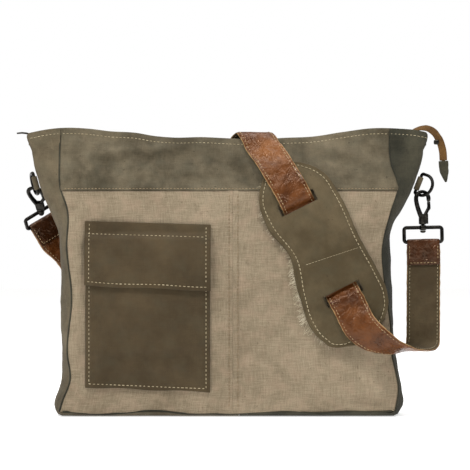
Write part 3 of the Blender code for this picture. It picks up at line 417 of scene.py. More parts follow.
def creases(x, z, folds):
    height = 0.0
    for (x0, z0), (x1, z1), width, lift in folds:
        dx, dz = x1 - x0, z1 - z0
        length = math.hypot(dx, dz)
        along = ((x - x0) * dx + (z - z0) * dz) / (length * length)
        if not -0.6 < along < 1.6:
            continue
        bend = 0.18 * width * math.sin(along * 5.0)
        away = ((x - x0) * dz - (z - z0) * dx) / length + bend
        end = max(0.0, -along, along - 1) * length / (2.2 * width)
        height += lift * math.exp(-(away / width) ** 2 - end * end)
    return height


def front_out(x, z, side=-1):
    """How far the cloth stands off the smooth skin: creases, soft waves, and the edge's seams."""
    seed = 0.0 if side < 0 else 5.3
    inside = min(1.0, max(0.0, (x - left_seam(z)) / 0.02), max(0.0, (right_seam(z) - x) / 0.02))
    fade = inside * inside * (3 - 2 * inside)
    wave = 0.0016 * rough(x, z, 0.075, seed) + 0.0007 * rough(x, z, 0.022, seed + 1)
    wave += 0.0003 * rough(x, z * 1.3, 0.009, seed + 2)
    folds = FRONT_FOLDS if side < 0 else [((-a[0], a[1]), (-b[0], b[1]), w, h)
                                          for a, b, w, h in FRONT_FOLDS]
    deep = 2.1 if z > BAND_SEAM else 1.35
    return (wave + deep * creases(x, z, folds)) * (0.15 + 0.85 * fade)


def front_point(x, z, out=0.0, side=-1):
    """A point of the front (side -1) or the back (+1), lifted off the cloth by out."""
    return np.array((x, side * (skin_y(x, z) + front_out(x, z, side) + out), z))


# ---- mesh helpers ----

# a box's faces, with its corners in the order low or high x, then y, then z
BOX_FACES = ((0, 1, 3, 2), (4, 6, 7, 5), (0, 4, 5, 1), (2, 3, 7, 6), (0, 2, 6, 4), (1, 5, 7, 3))


def bar_faces(rings, sides, base=0, closed=False, ends=True):
    """Faces of a bar made of rings of points, the first of them point number base."""
    faces = []
    for i in range(rings if closed else rings - 1):
        a, b = base + i * sides, base + (i + 1) % rings * sides
        for k in range(sides):
            m = (k + 1) % sides
            faces.append((a + k, a + m, b + m, b + k))
    if ends and not closed:
        faces.append(tuple(base + k for k in reversed(range(sides))))
        faces.append(tuple(base + (rings - 1) * sides + k for k in range(sides)))
    return faces


def attach(obj, body, slot, *cad):
    """Rides a piece on its body, and hides the CAD nodes it stands for. The slot argument is not used."""
    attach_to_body(obj, body)
    if cad:
        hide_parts(*cad)


def add_mesh(name, points, faces, material, uvs=None, smooth=True):
    mesh = bpy.data.meshes.new(name)
    mesh.from_pydata([tuple(map(float, p)) for p in points], [], faces)
    mesh.materials.append(MATERIALS[material])
    if uvs is not None:
        layer = mesh.uv_layers.new(name="UVMap")
        index = np.empty(len(mesh.loops), int)
        mesh.loops.foreach_get("vertex_index", index)
        layer.data.foreach_set("uv", np.array(uvs, float)[index].ravel())
    mesh.polygons.foreach_set("use_smooth", [smooth] * len(mesh.polygons))
    mesh.update()
    obj = bpy.data.objects.new(name, mesh)
    SCENE.collection.objects.link(obj)
    return obj


def flat_uv(grid, turn=0.0):
    """Distances along the rows and down the middle column, in metres: the cloth laid flat."""
    grid = np.array(grid)
    across = np.cumsum(np.linalg.norm(np.diff(grid, axis=1), axis=2), axis=1)
    across = np.pad(across, ((0, 0), (1, 0)))
    across -= across.mean(axis=1, keepdims=True)
    down = np.cumsum(np.linalg.norm(np.diff(grid, axis=0), axis=2).mean(axis=1))
    down = np.pad(down, (1, 0))[:, None] + np.zeros(grid.shape[:2])
    c, s = math.cos(turn), math.sin(turn)
    return np.stack([c * across - s * down, s * across + c * down], axis=2)


def cloth(name, grid, material, thickness=CLOTH, flip=False, uvs=None):
    """A thick sheet whose outer side is the grid; the thickness goes inwards."""
    rows, columns = len(grid), len(grid[0])
    faces = []
    for i in range(rows - 1):
        for j in range(columns - 1):
            a = i * columns + j
            loop = (a, a + 1, a + columns + 1, a + columns)
            faces.append(loop[::-1] if flip else loop)
    uvs = flat_uv(grid) if uvs is None else uvs
    obj = add_mesh(name, [p for row in grid for p in row], faces, material,
                   np.array(uvs).reshape(-1, 2))
    solid = obj.modifiers.new("thickness", "SOLIDIFY")
    solid.thickness = thickness
    solid.offset = -1
    solid.use_even_offset = True
    return obj


def tube(name, path, radius, material, sides=12, closed=False, scale=None):
    """A round bar along a path, with rings turned as little as possible."""
    path = [np.array(p, float) for p in path]
    count = len(path)
    points, side = [], None
    for i, p in enumerate(path):
        before = path[i - 1] if closed or i > 0 else p
        after = path[(i + 1) % count] if closed or i < count - 1 else p
        tangent = unit(after - before)
        if side is None:
            other = (0, 0, 1) if abs(tangent[2]) < 0.9 else (1, 0, 0)
            side = unit(np.cross(tangent, other))
        side = unit(side - np.dot(side, tangent) * tangent)
        up = np.cross(tangent, side)
        r = radius * (scale[i] if scale is not None else 1)
        for k in range(sides):
            angle = 2 * math.pi * k / sides
            points.append(p + r * (math.cos(angle) * side + math.sin(angle) * up))
    return add_mesh(name, points, bar_faces(count, sides, closed=closed), material)


def stitches(name, path, normals, material="cream_thread", pitch=0.0042, length=0.0030,
             radius=0.00036, jitter=0.10):
    """A row of sewn stitches: short threads that come out of the cloth and go back in."""
    path, normals = np.array(path, float), np.array(normals, float)
    steps = np.linalg.norm(np.diff(path, axis=0), axis=1)
    run = np.concatenate([[0], np.cumsum(steps)])
    count = int(run[-1] / pitch)
    points, faces = [], []
    rings = 5
    sides = 6
    for k in range(count):
        middle = (k + 0.5) * pitch + random.uniform(-1, 1) * jitter * pitch * 0.4
        half = length / 2 * random.uniform(0.88, 1.08)
        lean = random.uniform(-1, 1) * jitter * 0.0004
        base = len(points)
        for i in range(rings):
            share = i / (rings - 1) * 2 - 1
            s = middle + share * half
            here = np.array([np.interp(s, run, path[:, c]) for c in range(3)])
            ahead = np.array([np.interp(s + 0.0005, run, path[:, c]) for c in range(3)])
            behind = np.array([np.interp(s - 0.0005, run, path[:, c]) for c in range(3)])
            normal = unit([np.interp(s, run, normals[:, c]) for c in range(3)])
            tangent = unit(ahead - behind)
            side = unit(np.cross(normal, tangent))
            dip = share * share * share * share
            centre = here + normal * (radius * (0.55 - 1.5 * dip)) + side * lean
            thick = radius * (1 - 0.25 * dip)
            for c in range(sides):
                angle = 2 * math.pi * c / sides
                points.append(centre + thick * (math.cos(angle) * side + 0.85 * math.sin(angle) * normal))
        faces += bar_faces(rings, sides, base)
    return add_mesh(name, points, faces, material)


def normals_of(surface, places, outward=(0, -1, 0)):
    """Unit normals of a surface(u, v) at places, on the side that faces outward."""
    e = 0.0006
    out = []
    for u, v in places:
        du = surface(u + e, v) - surface(u - e, v)
        dv = surface(u, v + e) - surface(u, v - e)
        normal = unit(np.cross(du, dv))
        out.append(normal if np.dot(normal, outward) >= 0 else -normal)
    return out


def sew(name, surface, places, outward=(0, -1, 0), body="bag", lift=0.0, **settings):
    """Stitches along a list of (u, v) places on a surface."""
    fine = []
    for (u0, v0), (u1, v1) in zip(places[:-1], places[1:]):
        count = max(2, int(math.hypot(u1 - u0, v1 - v0) / 0.0015))
        fine += [(u0 + (u1 - u0) * s, v0 + (v1 - v0) * s) for s in np.arange(count) / count]
    fine.append(places[-1])
    normals = normals_of(surface, fine, outward)
    path = [surface(u, v) + n * lift for (u, v), n in zip(fine, normals)]
    obj = stitches(name, path, normals, **settings)
    if body:
        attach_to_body(obj, body)
    return obj


# ---- the body: linen front, canvas bands, back and gussets ----

SEAM_WIDTH = 0.0128


def panel_seam_swell(x):
    """The felled centre seam: extra layers between its two stitch rows, with a soft step."""
    away = x - PANEL_SEAM_X
    inside = 1 / (1 + math.exp((abs(away) - SEAM_WIDTH / 2) / 0.0006))
    return 0.0006 * inside


def linen_point(x, z, out=0.0):
    point = front_point(x, z, out)
    pucker = 0.00022 * math.sin(z * 2 * math.pi / 0.0042) * sum(
        math.exp(-((x - PANEL_SEAM_X - s * 0.0050) / 0.0016) ** 2) for s in (-1, 1))
    point[1] -= panel_seam_swell(x) - pucker
    return point


def bottom_edge(x):
    """The front panel's lower edge, which waves where the base's corners push it."""
    return SEAM_BOTTOM + 0.0030 * math.sin((x + 0.02) * 23) ** 2 + 0.0022 * rough(x, 0, 0.04, 9)


def make_front():
    heights = np.concatenate([[0.0, 0.012, 0.028, 0.046], np.linspace(0.066, 1, 96)])
    top = BAND_SEAM - 0.0002
    for name, low_x, high_x, columns in (
            ("front_linen_left", left_seam, lambda z: PANEL_SEAM_X, 84),
            ("front_linen_right", lambda z: PANEL_SEAM_X - 0.0010, right_seam, 78)):
        grid = []
        for share in heights:
            row = []
            for across in np.linspace(0, 1, columns):
                z = SEAM_BOTTOM + (top - SEAM_BOTTOM) * share
                x = float(low_x(z) + (high_x(z) - low_x(z)) * across)
                z += (bottom_edge(x) - SEAM_BOTTOM) * (1 - share) ** 6
                row.append(linen_point(x, z, 0.0003 * math.exp(-max(0.0, x - PANEL_SEAM_X + 0.001) / 0.0008)
                                       if "right" in name else 0.0))
            grid.append(row)
        obj = cloth(name, grid, "linen")
        attach(obj, "bag", "linen", "front_panel_left" if "left" in name else "front_panel_right")
    for k, away in enumerate((-0.0052, 0.0050)):
        x = PANEL_SEAM_X + away
        sew(f"centre_stitches_{k}", linen_point, [(x, 0.012), (x, BAND_SEAM - 0.002)],
            material="seam_thread", lift=0.0003, pitch=0.0046, length=0.0030, radius=0.00038)


def band_point(side):
    def at(x, z, out=0.0):
        edge = rim(x) - z
        hem = 0.0007 / (1 + math.exp((edge - 0.0082) / 0.0006))
        groove = 0.0005 * math.exp(-((edge - RIM_STITCH) / 0.0011) ** 2)
        pucker = 0.00028 * math.sin(x * 2 * math.pi / 0.0046) * math.exp(-((edge - 0.0066) / 0.003) ** 2)
        low = 0.0009 / (1 + math.exp((z - BAND_SEAM - 0.0060) / 0.0007))
        roll = -0.0010 * math.exp(-edge / 0.0012)
        return front_point(x, z, out + hem - groove + pucker + low + roll, side)
    return at


def make_bands():
    for side, name, twin in ((-1, "front_band_cloth", "front_band"), (1, "back_band_cloth", "back_band")):
        at = band_point(side)
        shares = np.concatenate([[0, 0.012], np.linspace(0.03, 0.97, 44), [0.985, 1]])
        grid = []
        for share in shares:
            row = []
            for across in np.linspace(0, 1, 150):
                z = BAND_SEAM
                for _ in range(3):
                    low, high = left_seam(z), right_seam(z)
                    x = float(low + (high - low) * across)
                    z = float(BAND_SEAM + (rim(x) - BAND_SEAM) * share)
                row.append(at(x, z))
            grid.append(row)
        obj = cloth(name, grid, "band_canvas", flip=side > 0)
        attach(obj, "bag", "olive_canvas", twin)
        face = (0, side, 0)
        xs = np.linspace(left_seam(0.33) + 0.002, right_seam(0.33) - 0.002, 60)
        sew(f"rim_stitches_{twin}", at, [(float(x), float(rim(x)) - RIM_STITCH) for x in xs], face,
            pitch=0.0046, length=0.0034, radius=0.00030)
        xs = np.linspace(left_seam(BAND_SEAM) + 0.003, right_seam(BAND_SEAM) - 0.003, 40)
        sew(f"band_stitches_{twin}", at, [(float(x), BAND_SEAM + 0.0022) for x in xs], face,
            material="linen_thread", pitch=0.0040, length=0.0026, radius=0.00032)


def make_back():
    grid = []
    for z in np.linspace(SEAM_BOTTOM, BAND_SEAM - 0.0002, 80):
        low, high = left_seam(z), right_seam(z)
        grid.append([front_point(float(x), float(z), 0.0, 1) for x in np.linspace(low, high, 110)])
    obj = cloth("back_cloth", grid, "side_canvas", flip=True)
    attach(obj, "bag", "olive_canvas", "back_panel")


# the gussets, each one strip from the top edge down a side and along the base

def gusset_curve(seam, fold, depth, power, follow_rim=False, crumple=None):
    across = np.linspace(-1, 1, 321)
    swell = 1 - np.abs(across) ** power
    points = np.column_stack([seam[0] + (fold[0] - seam[0]) * swell, across * depth,
                              seam[1] + (fold[1] - seam[1]) * swell])
    if follow_rim:
        points[:, 2] = [rim(x) - (rim(x) - NOTCH_Z) * math.exp(-(y / NOTCH_HALF) ** 6)
                        for x, y, _ in points]
    run = np.concatenate([[0], np.cumsum(np.linalg.norm(np.diff(points, axis=0), axis=1))])
    even = np.linspace(0, 1, 36)
    shares = 0.5 - 0.5 * np.cos(even * math.pi) * (1 - 0.25 * np.sin(even * math.pi) ** 2)
    shares = np.sort(np.concatenate([shares, [0.4, 0.45, 0.466, 0.474, 0.5, 0.526, 0.534, 0.55, 0.6]]))
    row = [np.array([np.interp(s * run[-1], run, points[:, k]) for k in range(3)]) for s in shares]
    if crumple:
        sign, level = crumple
        for share, point in zip(shares, row):
            ends = min(1.0, share / 0.12, (1 - share) / 0.12)
            wave = 0.0017 * rough(point[1], level, 0.030, 20 + sign) + 0.0010 * rough(
                point[1], level, 0.012, 24 + sign)
            crease = -0.0022 * math.exp(-(point[1] / 0.005) ** 2) * min(1.0, max(0.0, (level - 0.03) / 0.1))
            point[0] += sign * ends * (wave + crease) * (1.0 if level > 0.01 else 0.0)
            point[2] += ends * (0.0007 * rough(point[0], point[1], 0.05, 31) if level <= 0.01 else 0.0)
    return row


def side_rows(seam, fold, corner_x, sign):
    rows = []
    top_z = 0.330
    top = (seam(top_z), rim(seam(top_z))), (fold(top_z), rim(fold(top_z)))
    rows.append(gusset_curve(*top, half_depth(top_z), gusset_power(top_z), True))
    for below in (0.0012, 0.0040, 0.0060, 0.0074, 0.0090):
        z = top_z - below
        curve = gusset_curve((seam(z), z), (fold(z), z), half_depth(z), gusset_power(z), True)
        bead = 0.0006 * math.exp(-((below - RIM_STITCH) / 0.0012) ** 2)
        rows.append([p - (sign * bead, 0, below) for p in curve])
    for z in np.concatenate([[0.3180], np.linspace(0.312, 0.012, 70)]):
        z = float(z)
        rows.append(gusset_curve((seam(z), z), (fold(z), z), half_depth(z), gusset_power(z),
                                 crumple=(sign, z) if z < 0.316 else None))
    inwards = -sign
    depth = half_depth(0.004)
    fold_x = fold(0.0060)
    rows.append(gusset_curve((corner_x + 0.0003 * inwards, 0.0080), (fold_x, 0.0070), depth, 3.2))
    rows.append(gusset_curve((corner_x + 0.0020 * inwards, 0.0055),
                             (fold_x + 0.0035 * inwards, 0.0022), depth, 4.5))
    rows.append(gusset_curve((corner_x + 0.0060 * inwards, SEAM_BOTTOM),
                             (fold_x + 0.0090 * inwards, 0.0003), depth, 7.0))
    return rows


def make_gussets():
    for name, sign, seam, fold, colour, cad, material in (
            ("gusset_left_cloth", -1, left_seam, left_fold, "side_canvas", "gusset_left", "olive_canvas"),
            ("gusset_right_cloth", 1, right_seam, right_fold, "grey_canvas", "gusset_right",
             "grey_canvas")):
        corner = float(seam(0.004))
        rows = side_rows(seam, fold, corner, sign)
        start = corner - sign * 0.018
        for x in np.linspace(start, BASE_MIDDLE + sign * 0.0002, 40):
            low = float(bottom_edge(x))
            rows.append(gusset_curve((x, SEAM_BOTTOM + 0.4 * (low - SEAM_BOTTOM)), (x, 0.0003),
                                     half_depth(0.004), 9.0))
        obj = cloth(name, rows, colour, flip=sign > 0)
        attach(obj, "bag", material, cad)


def make_gusset_hems():
    """The rim's stitch row, where it goes on over each gusset."""
    for name, seam, fold in (("left", left_seam, left_fold), ("right", right_seam, right_fold)):
        for side, tag in ((-1, "front"), (1, "back")):
            z = 0.3265
            row = gusset_curve((seam(z), z), (fold(z), z), half_depth(z), gusset_power(z))
            path = [p for p in row if side * p[1] > NOTCH_HALF]
            path = np.array([(p[0], p[1], rim(p[0]) - RIM_STITCH) for p in path])
            along = np.gradient(path, axis=0)
            normals = [unit(np.cross(t, (0, 0, 1))) for t in along]
            normals = [n if n[1] * side > 0 else -n for n in normals]
            stitch = stitches(f"rim_stitches_{name}_{tag}", path + np.array(normals) * 0.0007, normals,
                              pitch=0.0046, length=0.0036, radius=0.00028)
            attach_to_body(stitch, "bag")


def make_piping():
    """The welt where each panel's edge is sewn to the gusset: a soft cord of folded canvas. The cord is real,
    but it is drawn in the darker grey canvas instead of the panels' olive, so each seam shows a dark line:
    painted shade of the seam's crease.
    """
    for side, tag in ((-1, "front"), (1, "back")):
        for name, seam in (("left", left_seam), ("right", right_seam)):
            path = []
            for z in np.linspace(0.0065, 0.334, 110):
                x = float(seam(z))
                z = min(float(z), float(rim(x)) - 0.0016)
                path.append((x, side * (float(half_depth(z)) - 0.0002), z))
            scale = [0.85 + 0.18 * rough(0, p[2], 0.02, 3) for p in path]
            # painted shade: the side welts take the dark grey canvas, so the seam reads as a dark line
            obj = tube(f"welt_{tag}_{name}", path, 0.00125, "grey_canvas", 8, scale=scale)
            attach(obj, "bag", "olive_canvas")
        path = [(float(x), side * (float(skin_y(x, SEAM_BOTTOM)) - 0.0001), float(bottom_edge(x)) - 0.0002)
                for x in np.linspace(left_seam(0.006) + 0.004, right_seam(0.006) - 0.004, 120)]
        # painted shade: the base welt is dark grey too, a dark line along the panel's lower edge
        obj = tube(f"welt_{tag}_base", path, 0.00115, "grey_canvas", 8)
        attach(obj, "bag", "olive_canvas")


# ---- the front pocket and its flap ----

POCKET_LEFT = -0.1660
POCKET_RIGHT = -0.0210
POCKET_TOP = 0.1980
POCKET_ROOM = 0.0085
FLAP = 0.0020
FLAP_HINGE_Z = 0.2165
POCKET_STITCH = 0.0046


def edge_profile(d, stitch=POCKET_STITCH):
    """A turned hem: full thickness from the fold in, a groove at the stitch row, then one layer."""
    fold = 0.0006 * (1 - math.exp(-max(d, 0.0) / 0.0007))
    hem = 0.0007 / (1 + math.exp((d - stitch * 2.0) / 0.0006))
    groove = 0.0006 * math.exp(-((d - stitch) / 0.0011) ** 2)
    return fold + hem - groove


def pocket_bottom(x):
    return 0.0352 - 0.0056 * (x - POCKET_LEFT) / (POCKET_RIGHT - POCKET_LEFT) + 0.0006 * math.sin(x * 90)


def pocket_share(x, z):
    across = (2 * x - POCKET_LEFT - POCKET_RIGHT) / (POCKET_RIGHT - POCKET_LEFT)
    up = (z - 0.0325) / (POCKET_TOP - 0.0325)
    return across, up


def pocket_point(x, z, out=0.0):
    across, up = pocket_share(x, z)
    swell = max(0.0, 1 - abs(across) ** 4) * min(1.0, 1 - (1 - min(max(up, 0.0) * 2.2, 1.0)) ** 2)
    d = min(x - POCKET_LEFT, POCKET_RIGHT - x, z - pocket_bottom(x))
    wave = 0.0010 * rough(x, z, 0.045, 40) + 0.0005 * rough(x, z, 0.015, 41)
    wave += creases(x, z, [((-0.140, 0.076), (-0.040, 0.086), 0.0060, 0.0022),
                           ((-0.130, 0.062), (-0.060, 0.070), 0.0055, -0.0019),
                           ((-0.150, 0.120), (-0.090, 0.112), 0.0090, 0.0008)])
    inner = min(1.0, max(0.0, d / 0.012))
    base = front_point(x, z)
    base[1] -= 0.0003 + CLOTH + POCKET_ROOM * swell + wave * inner + edge_profile(d) + out
    return base


def flap_top(x):
    return 0.2283 - 0.0042 * (x - POCKET_LEFT) / (POCKET_RIGHT - POCKET_LEFT)


def flap_bottom(x):
    return 0.1532 - 0.0058 * (x - POCKET_LEFT) / (POCKET_RIGHT - POCKET_LEFT) + 0.0005 * math.sin(x * 70 + 1)


def flap_point(x, z, out=0.0):
    across, _ = pocket_share(x, z)
    stand = POCKET_ROOM + CLOTH + 0.0009 + FLAP
    low, high = flap_bottom(x), flap_top(x)
    near = min(1.0, max(0.0, (FLAP_HINGE_Z - z) / (0.16 * (FLAP_HINGE_Z - low))))
    near = near * near * (3 - 2 * near)
    wide = 0.45 + 0.55 * (1 - min(1.0, across ** 4))
    lie = 0.0003 + FLAP
    off = lie + (stand - lie) * wide * near + 0.0006
    side = min(x - POCKET_LEFT, POCKET_RIGHT - x)
    d = min(side, z - low)
    off += edge_profile(d) + 0.0004 * (1 - math.exp(-max(high - z, 0.0) / 0.0008))
    off -= 0.0006 * math.exp(-((high - z - 0.0148) / 0.0012) ** 2)
    off += (0.0009 * rough(x, z, 0.04, 50) + 0.0004 * rough(x, z, 0.013, 51)) * min(1.0, d / 0.01)
    base = front_point(x, z)
    base[1] -= off + out
    return base


def make_pocket():
    left, right = POCKET_LEFT, POCKET_RIGHT

    def edges(count):
        t = np.linspace(0, 1, count)
        fine = np.array([0.0006, 0.0016, 0.0032, 0.0046, 0.0060, 0.0080, 0.0100]) / (right - left)
        inner = t[(t > fine[-1] * 1.2) & (t < 1 - fine[-1] * 1.2)]
        return np.concatenate([[0], fine, inner, 1 - fine[::-1], [1]])

    shares = edges(60)
    grid = [[pocket_point(float(left + (right - left) * a), float(pocket_bottom(left + (right - left) * a)
                          + (POCKET_TOP - pocket_bottom(left + (right - left) * a)) * s))
             for a in shares] for s in edges(62)]
    body = cloth("pocket_cloth", grid, "pocket_canvas", 0.0014)
    attach(body, "bag", "pocket_canvas", "pocket_body")
    k = POCKET_STITCH
    path = [(left + k, POCKET_TOP - 0.03), (left + k, pocket_bottom(left) + k),
            ((left + right) / 2, pocket_bottom((left + right) / 2) + k),
            (right - k, pocket_bottom(right) + k), (right - k, POCKET_TOP - 0.03)]
    sew("pocket_stitches", pocket_point, path, pitch=0.0049, length=0.0033, radius=0.00042)

    grid = []
    rows = np.concatenate([[0, 0.008, 0.02, 0.04, 0.06, 0.08, 0.11], np.linspace(0.14, 0.985, 50),
                           [0.993, 1]])
    for s in rows:
        row = []
        for a in shares:
            x = float(left - 0.0008 + (right - left + 0.0016) * a)
            row.append(flap_point(x, float(flap_bottom(x) + (flap_top(x) - flap_bottom(x)) * s)))
        grid.append(row)
    flap = cloth("flap_cloth", grid, "pocket_canvas", 0.0016)
    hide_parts("pocket_flap", "pocket_flap_hem")
    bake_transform(flap)
    xs = np.linspace(left + 0.002, right - 0.002, 30)
    row = sew("flap_top_stitches", flap_point, [(float(x), flap_top(x) - 0.0148) for x in xs], body=None,
              pitch=0.0049, length=0.0033, radius=0.00040)
    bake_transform(row)
    row = sew("flap_hem_stitches", flap_point, [(float(x), flap_bottom(x) + 0.0044) for x in xs],
              body="pocket_flap", pitch=0.0049, length=0.0033, radius=0.00042)
    for name, x in (("left", left + k), ("right", right - k)):
        row = sew(f"flap_{name}_stitches", flap_point,
                  [(x, flap_top(x) - 0.002), (x, flap_bottom(x) + 0.006)], body=None,
                  pitch=0.0049, length=0.0033, radius=0.00042)
        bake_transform(row)


# ---- the strap, from the right hook over the front, the rim and the back to the left hook ----

STRAP_WIDTH = 0.0380
STRAP_LAYER = 0.0015
ROUTE_STEPS = 6  # finer steps between two stations of a route
STRAP_END_STATIONS = 3  # stations that strap_end gives
STRAP_ON_PAD = 0.0122
STRAP_UNDER_PAD = 0.0032
PAD_CENTRE = (0.1070, 0.1965)
PAD_DIRECTION = (0.4460, -0.8950)
PAD_HALF = 0.0590
SLOT_LENGTH = 0.0135
SLOT_WIDTH = 0.0460
RIGHT_LEG = [
    ((0.2300, -0.0100, 0.1600), (1, 0, 0)),
    ((0.2298, -0.0105, 0.1200), (1, 0, 0)), ((0.2296, -0.0110, 0.0960), (1, 0, 0)),
    ((0.2290, -0.0140, 0.0860), (1, 0, 0)), ((0.2260, -0.0220, 0.0800), (0.95, -0.3, 0)),
    ((0.2190, -0.0380, 0.0785), (0.75, -0.66, 0)), ((0.2080, -0.0550, 0.0790), (0.40, -0.91, 0.10)),
    ((0.1900, -0.0680, 0.0825), (0.34, -0.84, 0.42)), ((0.1690, -0.0680, 0.0920), (0.62, -0.53, 0.58)),
    ((0.1530, -0.0640, 0.1060), (0.84, -0.22, 0.48)),
]
FRONT = [(0.1430, 0.1250, 0.0128), (0.1390, 0.1335, STRAP_ON_PAD)]
FRONT_HIGH = [(0.0715, 0.2672, 0.0126), (0.0665, 0.2757, 0.0128), (0.0615, 0.2842, 0.0128),
              (0.0565, 0.2925, 0.0126), (0.0515, 0.3010, 0.0110), (0.0460, 0.3090, 0.0078)]
OVER_RIM = [((0.0405, -0.0175, 0.3168), (1, 0, 0.12)), ((0.0365, -0.0130, 0.3250), (1, 0, 0)),
            ((0.0335, -0.0085, 0.3298), (1, 0, 0)), ((0.0315, -0.0040, 0.3318), (1, 0, 0)),
            ((0.0300, 0.0, 0.3323), (1, 0, 0)), ((0.0285, 0.0040, 0.3318), (1, 0, 0)),
            ((0.0265, 0.0085, 0.3298), (1, 0, 0)), ((0.0235, 0.0130, 0.3250), (1, 0, 0)),
            ((0.0195, 0.0175, 0.3165), (1, 0, -0.12))]
BACK = [(0.0125, 0.3050, 0.0085), (0.0050, 0.2920, 0.0085), (-0.0030, 0.2780, 0.0080),
        (-0.0115, 0.2640, 0.0075), (-0.0200, 0.2490, 0.0070), (-0.0360, 0.2200, 0.0060),
        (-0.0540, 0.1850, 0.0060), (-0.0720, 0.1500, 0.0065), (-0.0880, 0.1200, 0.0095)]
LEFT_LEG = [
    ((-0.1010, 0.0665, 0.0990), (0.62, -0.65, -0.42)), ((-0.1150, 0.0730, 0.0870), (0.30, -0.94, -0.10)),
    ((-0.1300, 0.0750, 0.0840), (0.05, -1, 0)), ((-0.1450, 0.0730, 0.0930), (0.35, -0.90, 0.25)),
    ((-0.1570, 0.0680, 0.1140), (0.75, -0.50, 0.42)), ((-0.1670, 0.0645, 0.1400), (0.88, -0.15, 0.42)),
    ((-0.1780, 0.0635, 0.1660), (0.84, 0.0, 0.53)), ((-0.1920, 0.0625, 0.1900), (0.79, 0.10, 0.60)),
]


def pad_place(along, across):
    dx, dz = PAD_DIRECTION
    return PAD_CENTRE[0] + dx * along - dz * across, PAD_CENTRE[1] + dz * along + dx * across


def smooth_front(x, z, out):
    return np.array((x, -(skin_y(x, z) + out), z))


def pad_point(along, across, out):
    return smooth_front(*pad_place(along, across), out)


def laid(place, direction, side):
    """A station of the strap where it lies along the skin, front (-1) or back (1)."""
    x, _, z = place
    dx, dz = direction
    reach = 0.012
    slope = skin_y(x + dx * reach, z + dz * reach) - skin_y(x - dx * reach, z - dz * reach)
    return place, (dx, side * slope / (2 * reach), dz)


def strap_route():
    across = (0.895, 0.446)
    route = strap_end("right")[::-1] + RIGHT_LEG
    route += [laid(smooth_front(*p), across, -1) for p in FRONT]
    for centre, sign in ((PAD_HALF, 1), (-PAD_HALF, -1)):
        high, low = STRAP_ON_PAD, STRAP_UNDER_PAD
        steps = [(0.008, high), (0.004, high - 0.0006), (-0.004, low + 0.0006), (-0.008, low)]
        for away, out in steps if sign > 0 else steps[::-1]:
            route.append(laid(pad_point(centre + sign * away, 0, out), across, -1))
        if sign > 0:
            for along in (0.040, 0.020, 0.0, -0.020, -0.040):
                route.append(laid(pad_point(along, 0, low), across, -1))
    route += [laid(smooth_front(*p), across, -1) for p in FRONT_HIGH]
    route += OVER_RIM
    route += [laid((p[0], skin_y(p[0], p[1]) + p[2], p[1]), (0.866, -0.5), 1) for p in BACK]
    return route + LEFT_LEG + strap_end("left")


def smooth_route(route, steps):
    points = np.array([p for p, _ in route], float)
    rulings = np.array([unit(r) for _, r in route])
    tangents = np.gradient(points, axis=0)
    finer = []
    for i in range(len(points) - 1):
        for s in np.arange(steps) / steps:
            h = (1 + 2 * s) * (1 - s) ** 2, s * (1 - s) ** 2, s * s * (3 - 2 * s), s * s * (s - 1)
            place = (h[0] * points[i] + h[1] * tangents[i]
                     + h[2] * points[i + 1] + h[3] * tangents[i + 1])
            finer.append((place, rulings[i] * (1 - s) + rulings[i + 1] * s))
    return finer + [(points[-1], rulings[-1])]


def ribbon_frames(route):
    centres = np.array([p for p, _ in route], float)
    tangents = np.gradient(centres, axis=0)
    frames = []
    for (_, ruling), centre, tangent in zip(route, centres, tangents):
        tangent = unit(tangent)
        ruling = unit(ruling)
        normal = np.cross(ruling, tangent)
        size = np.linalg.norm(normal)
        frames.append((centre, ruling / size, normal / size))
    return frames


def resampled(frames, step):
    """The same ribbon with stations an even distance apart, and each one's distance along it."""
    centres = np.array([f[0] for f in frames])
    run = np.concatenate([[0], np.cumsum(np.linalg.norm(np.diff(centres, axis=0), axis=1))])
    at = np.linspace(0, run[-1], max(3, int(run[-1] / step) + 1))
    out = []
    for s in at:
        out.append(tuple(np.array([np.interp(s, run, [f[k][c] for f in frames]) for c in range(3)])
                         for k in range(3)))
    return out, at


def ribbon(name, frames, runs, width, low, high, material, columns=17, edge=0.0005, wrinkle=0.0,
           seed=0.0, ragged=0.0):
    """A strap layer: a closed strip with rounded edges, a little sag, and fine creases across."""
    half = width / 2
    across = np.sin(np.linspace(-1, 1, columns) * math.pi / 2)
    points, uvs = [], []
    for (centre, ruling, normal), run in zip(frames, runs):
        unit_normal = unit(normal)
        side = ruling
        tremble = ragged * noise.noise(Vector((run / 0.006, seed, 3.0)))
        tremble2 = ragged * noise.noise(Vector((run / 0.006, seed, 9.0)))
        top, bottom = [], []
        for a in across:
            shift = tremble if a > 0.9 else (tremble2 if a < -0.9 else 0.0)
            place = centre + side * (a * half + shift)
            bend = wrinkle * (noise.noise(Vector((run / 0.014, a * 0.8 + seed, seed)))
                              + 0.5 * noise.noise(Vector((run / 0.005, a * 2.2 + seed, seed + 4))))
            round_off = edge * max(0.0, abs(a) - 0.90) / 0.10
            top.append(place + unit_normal * (high - round_off + bend))
            bottom.append(place + unit_normal * (low + round_off + bend))
            uvs.append((a * half, run))
        points += top + bottom[::-1]
        uvs += [(a * half, run) for a in across[::-1]]
    ring = 2 * columns
    faces = []
    for i in range(len(frames) - 1):
        for k in range(ring):
            m = (k + 1) % ring
            faces.append((i * ring + k, (i + 1) * ring + k, (i + 1) * ring + m, i * ring + m))
    faces.append(tuple(range(ring)))
    last = (len(frames) - 1) * ring
    faces.append(tuple(last + k for k in reversed(range(ring))))
    return add_mesh(name, points, faces, material, uvs)


def strap_stitches(name, frames, away, level, material="tan_thread", **settings):
    """A stitch row along one side of the ribbon, at a distance from its middle."""
    path = [c + r * away + unit(n) * level for c, r, n in frames]
    normals = [unit(n) * (1 if level > 0 else -1) for _, _, n in frames]
    return stitches(name, path, normals, material, **settings)


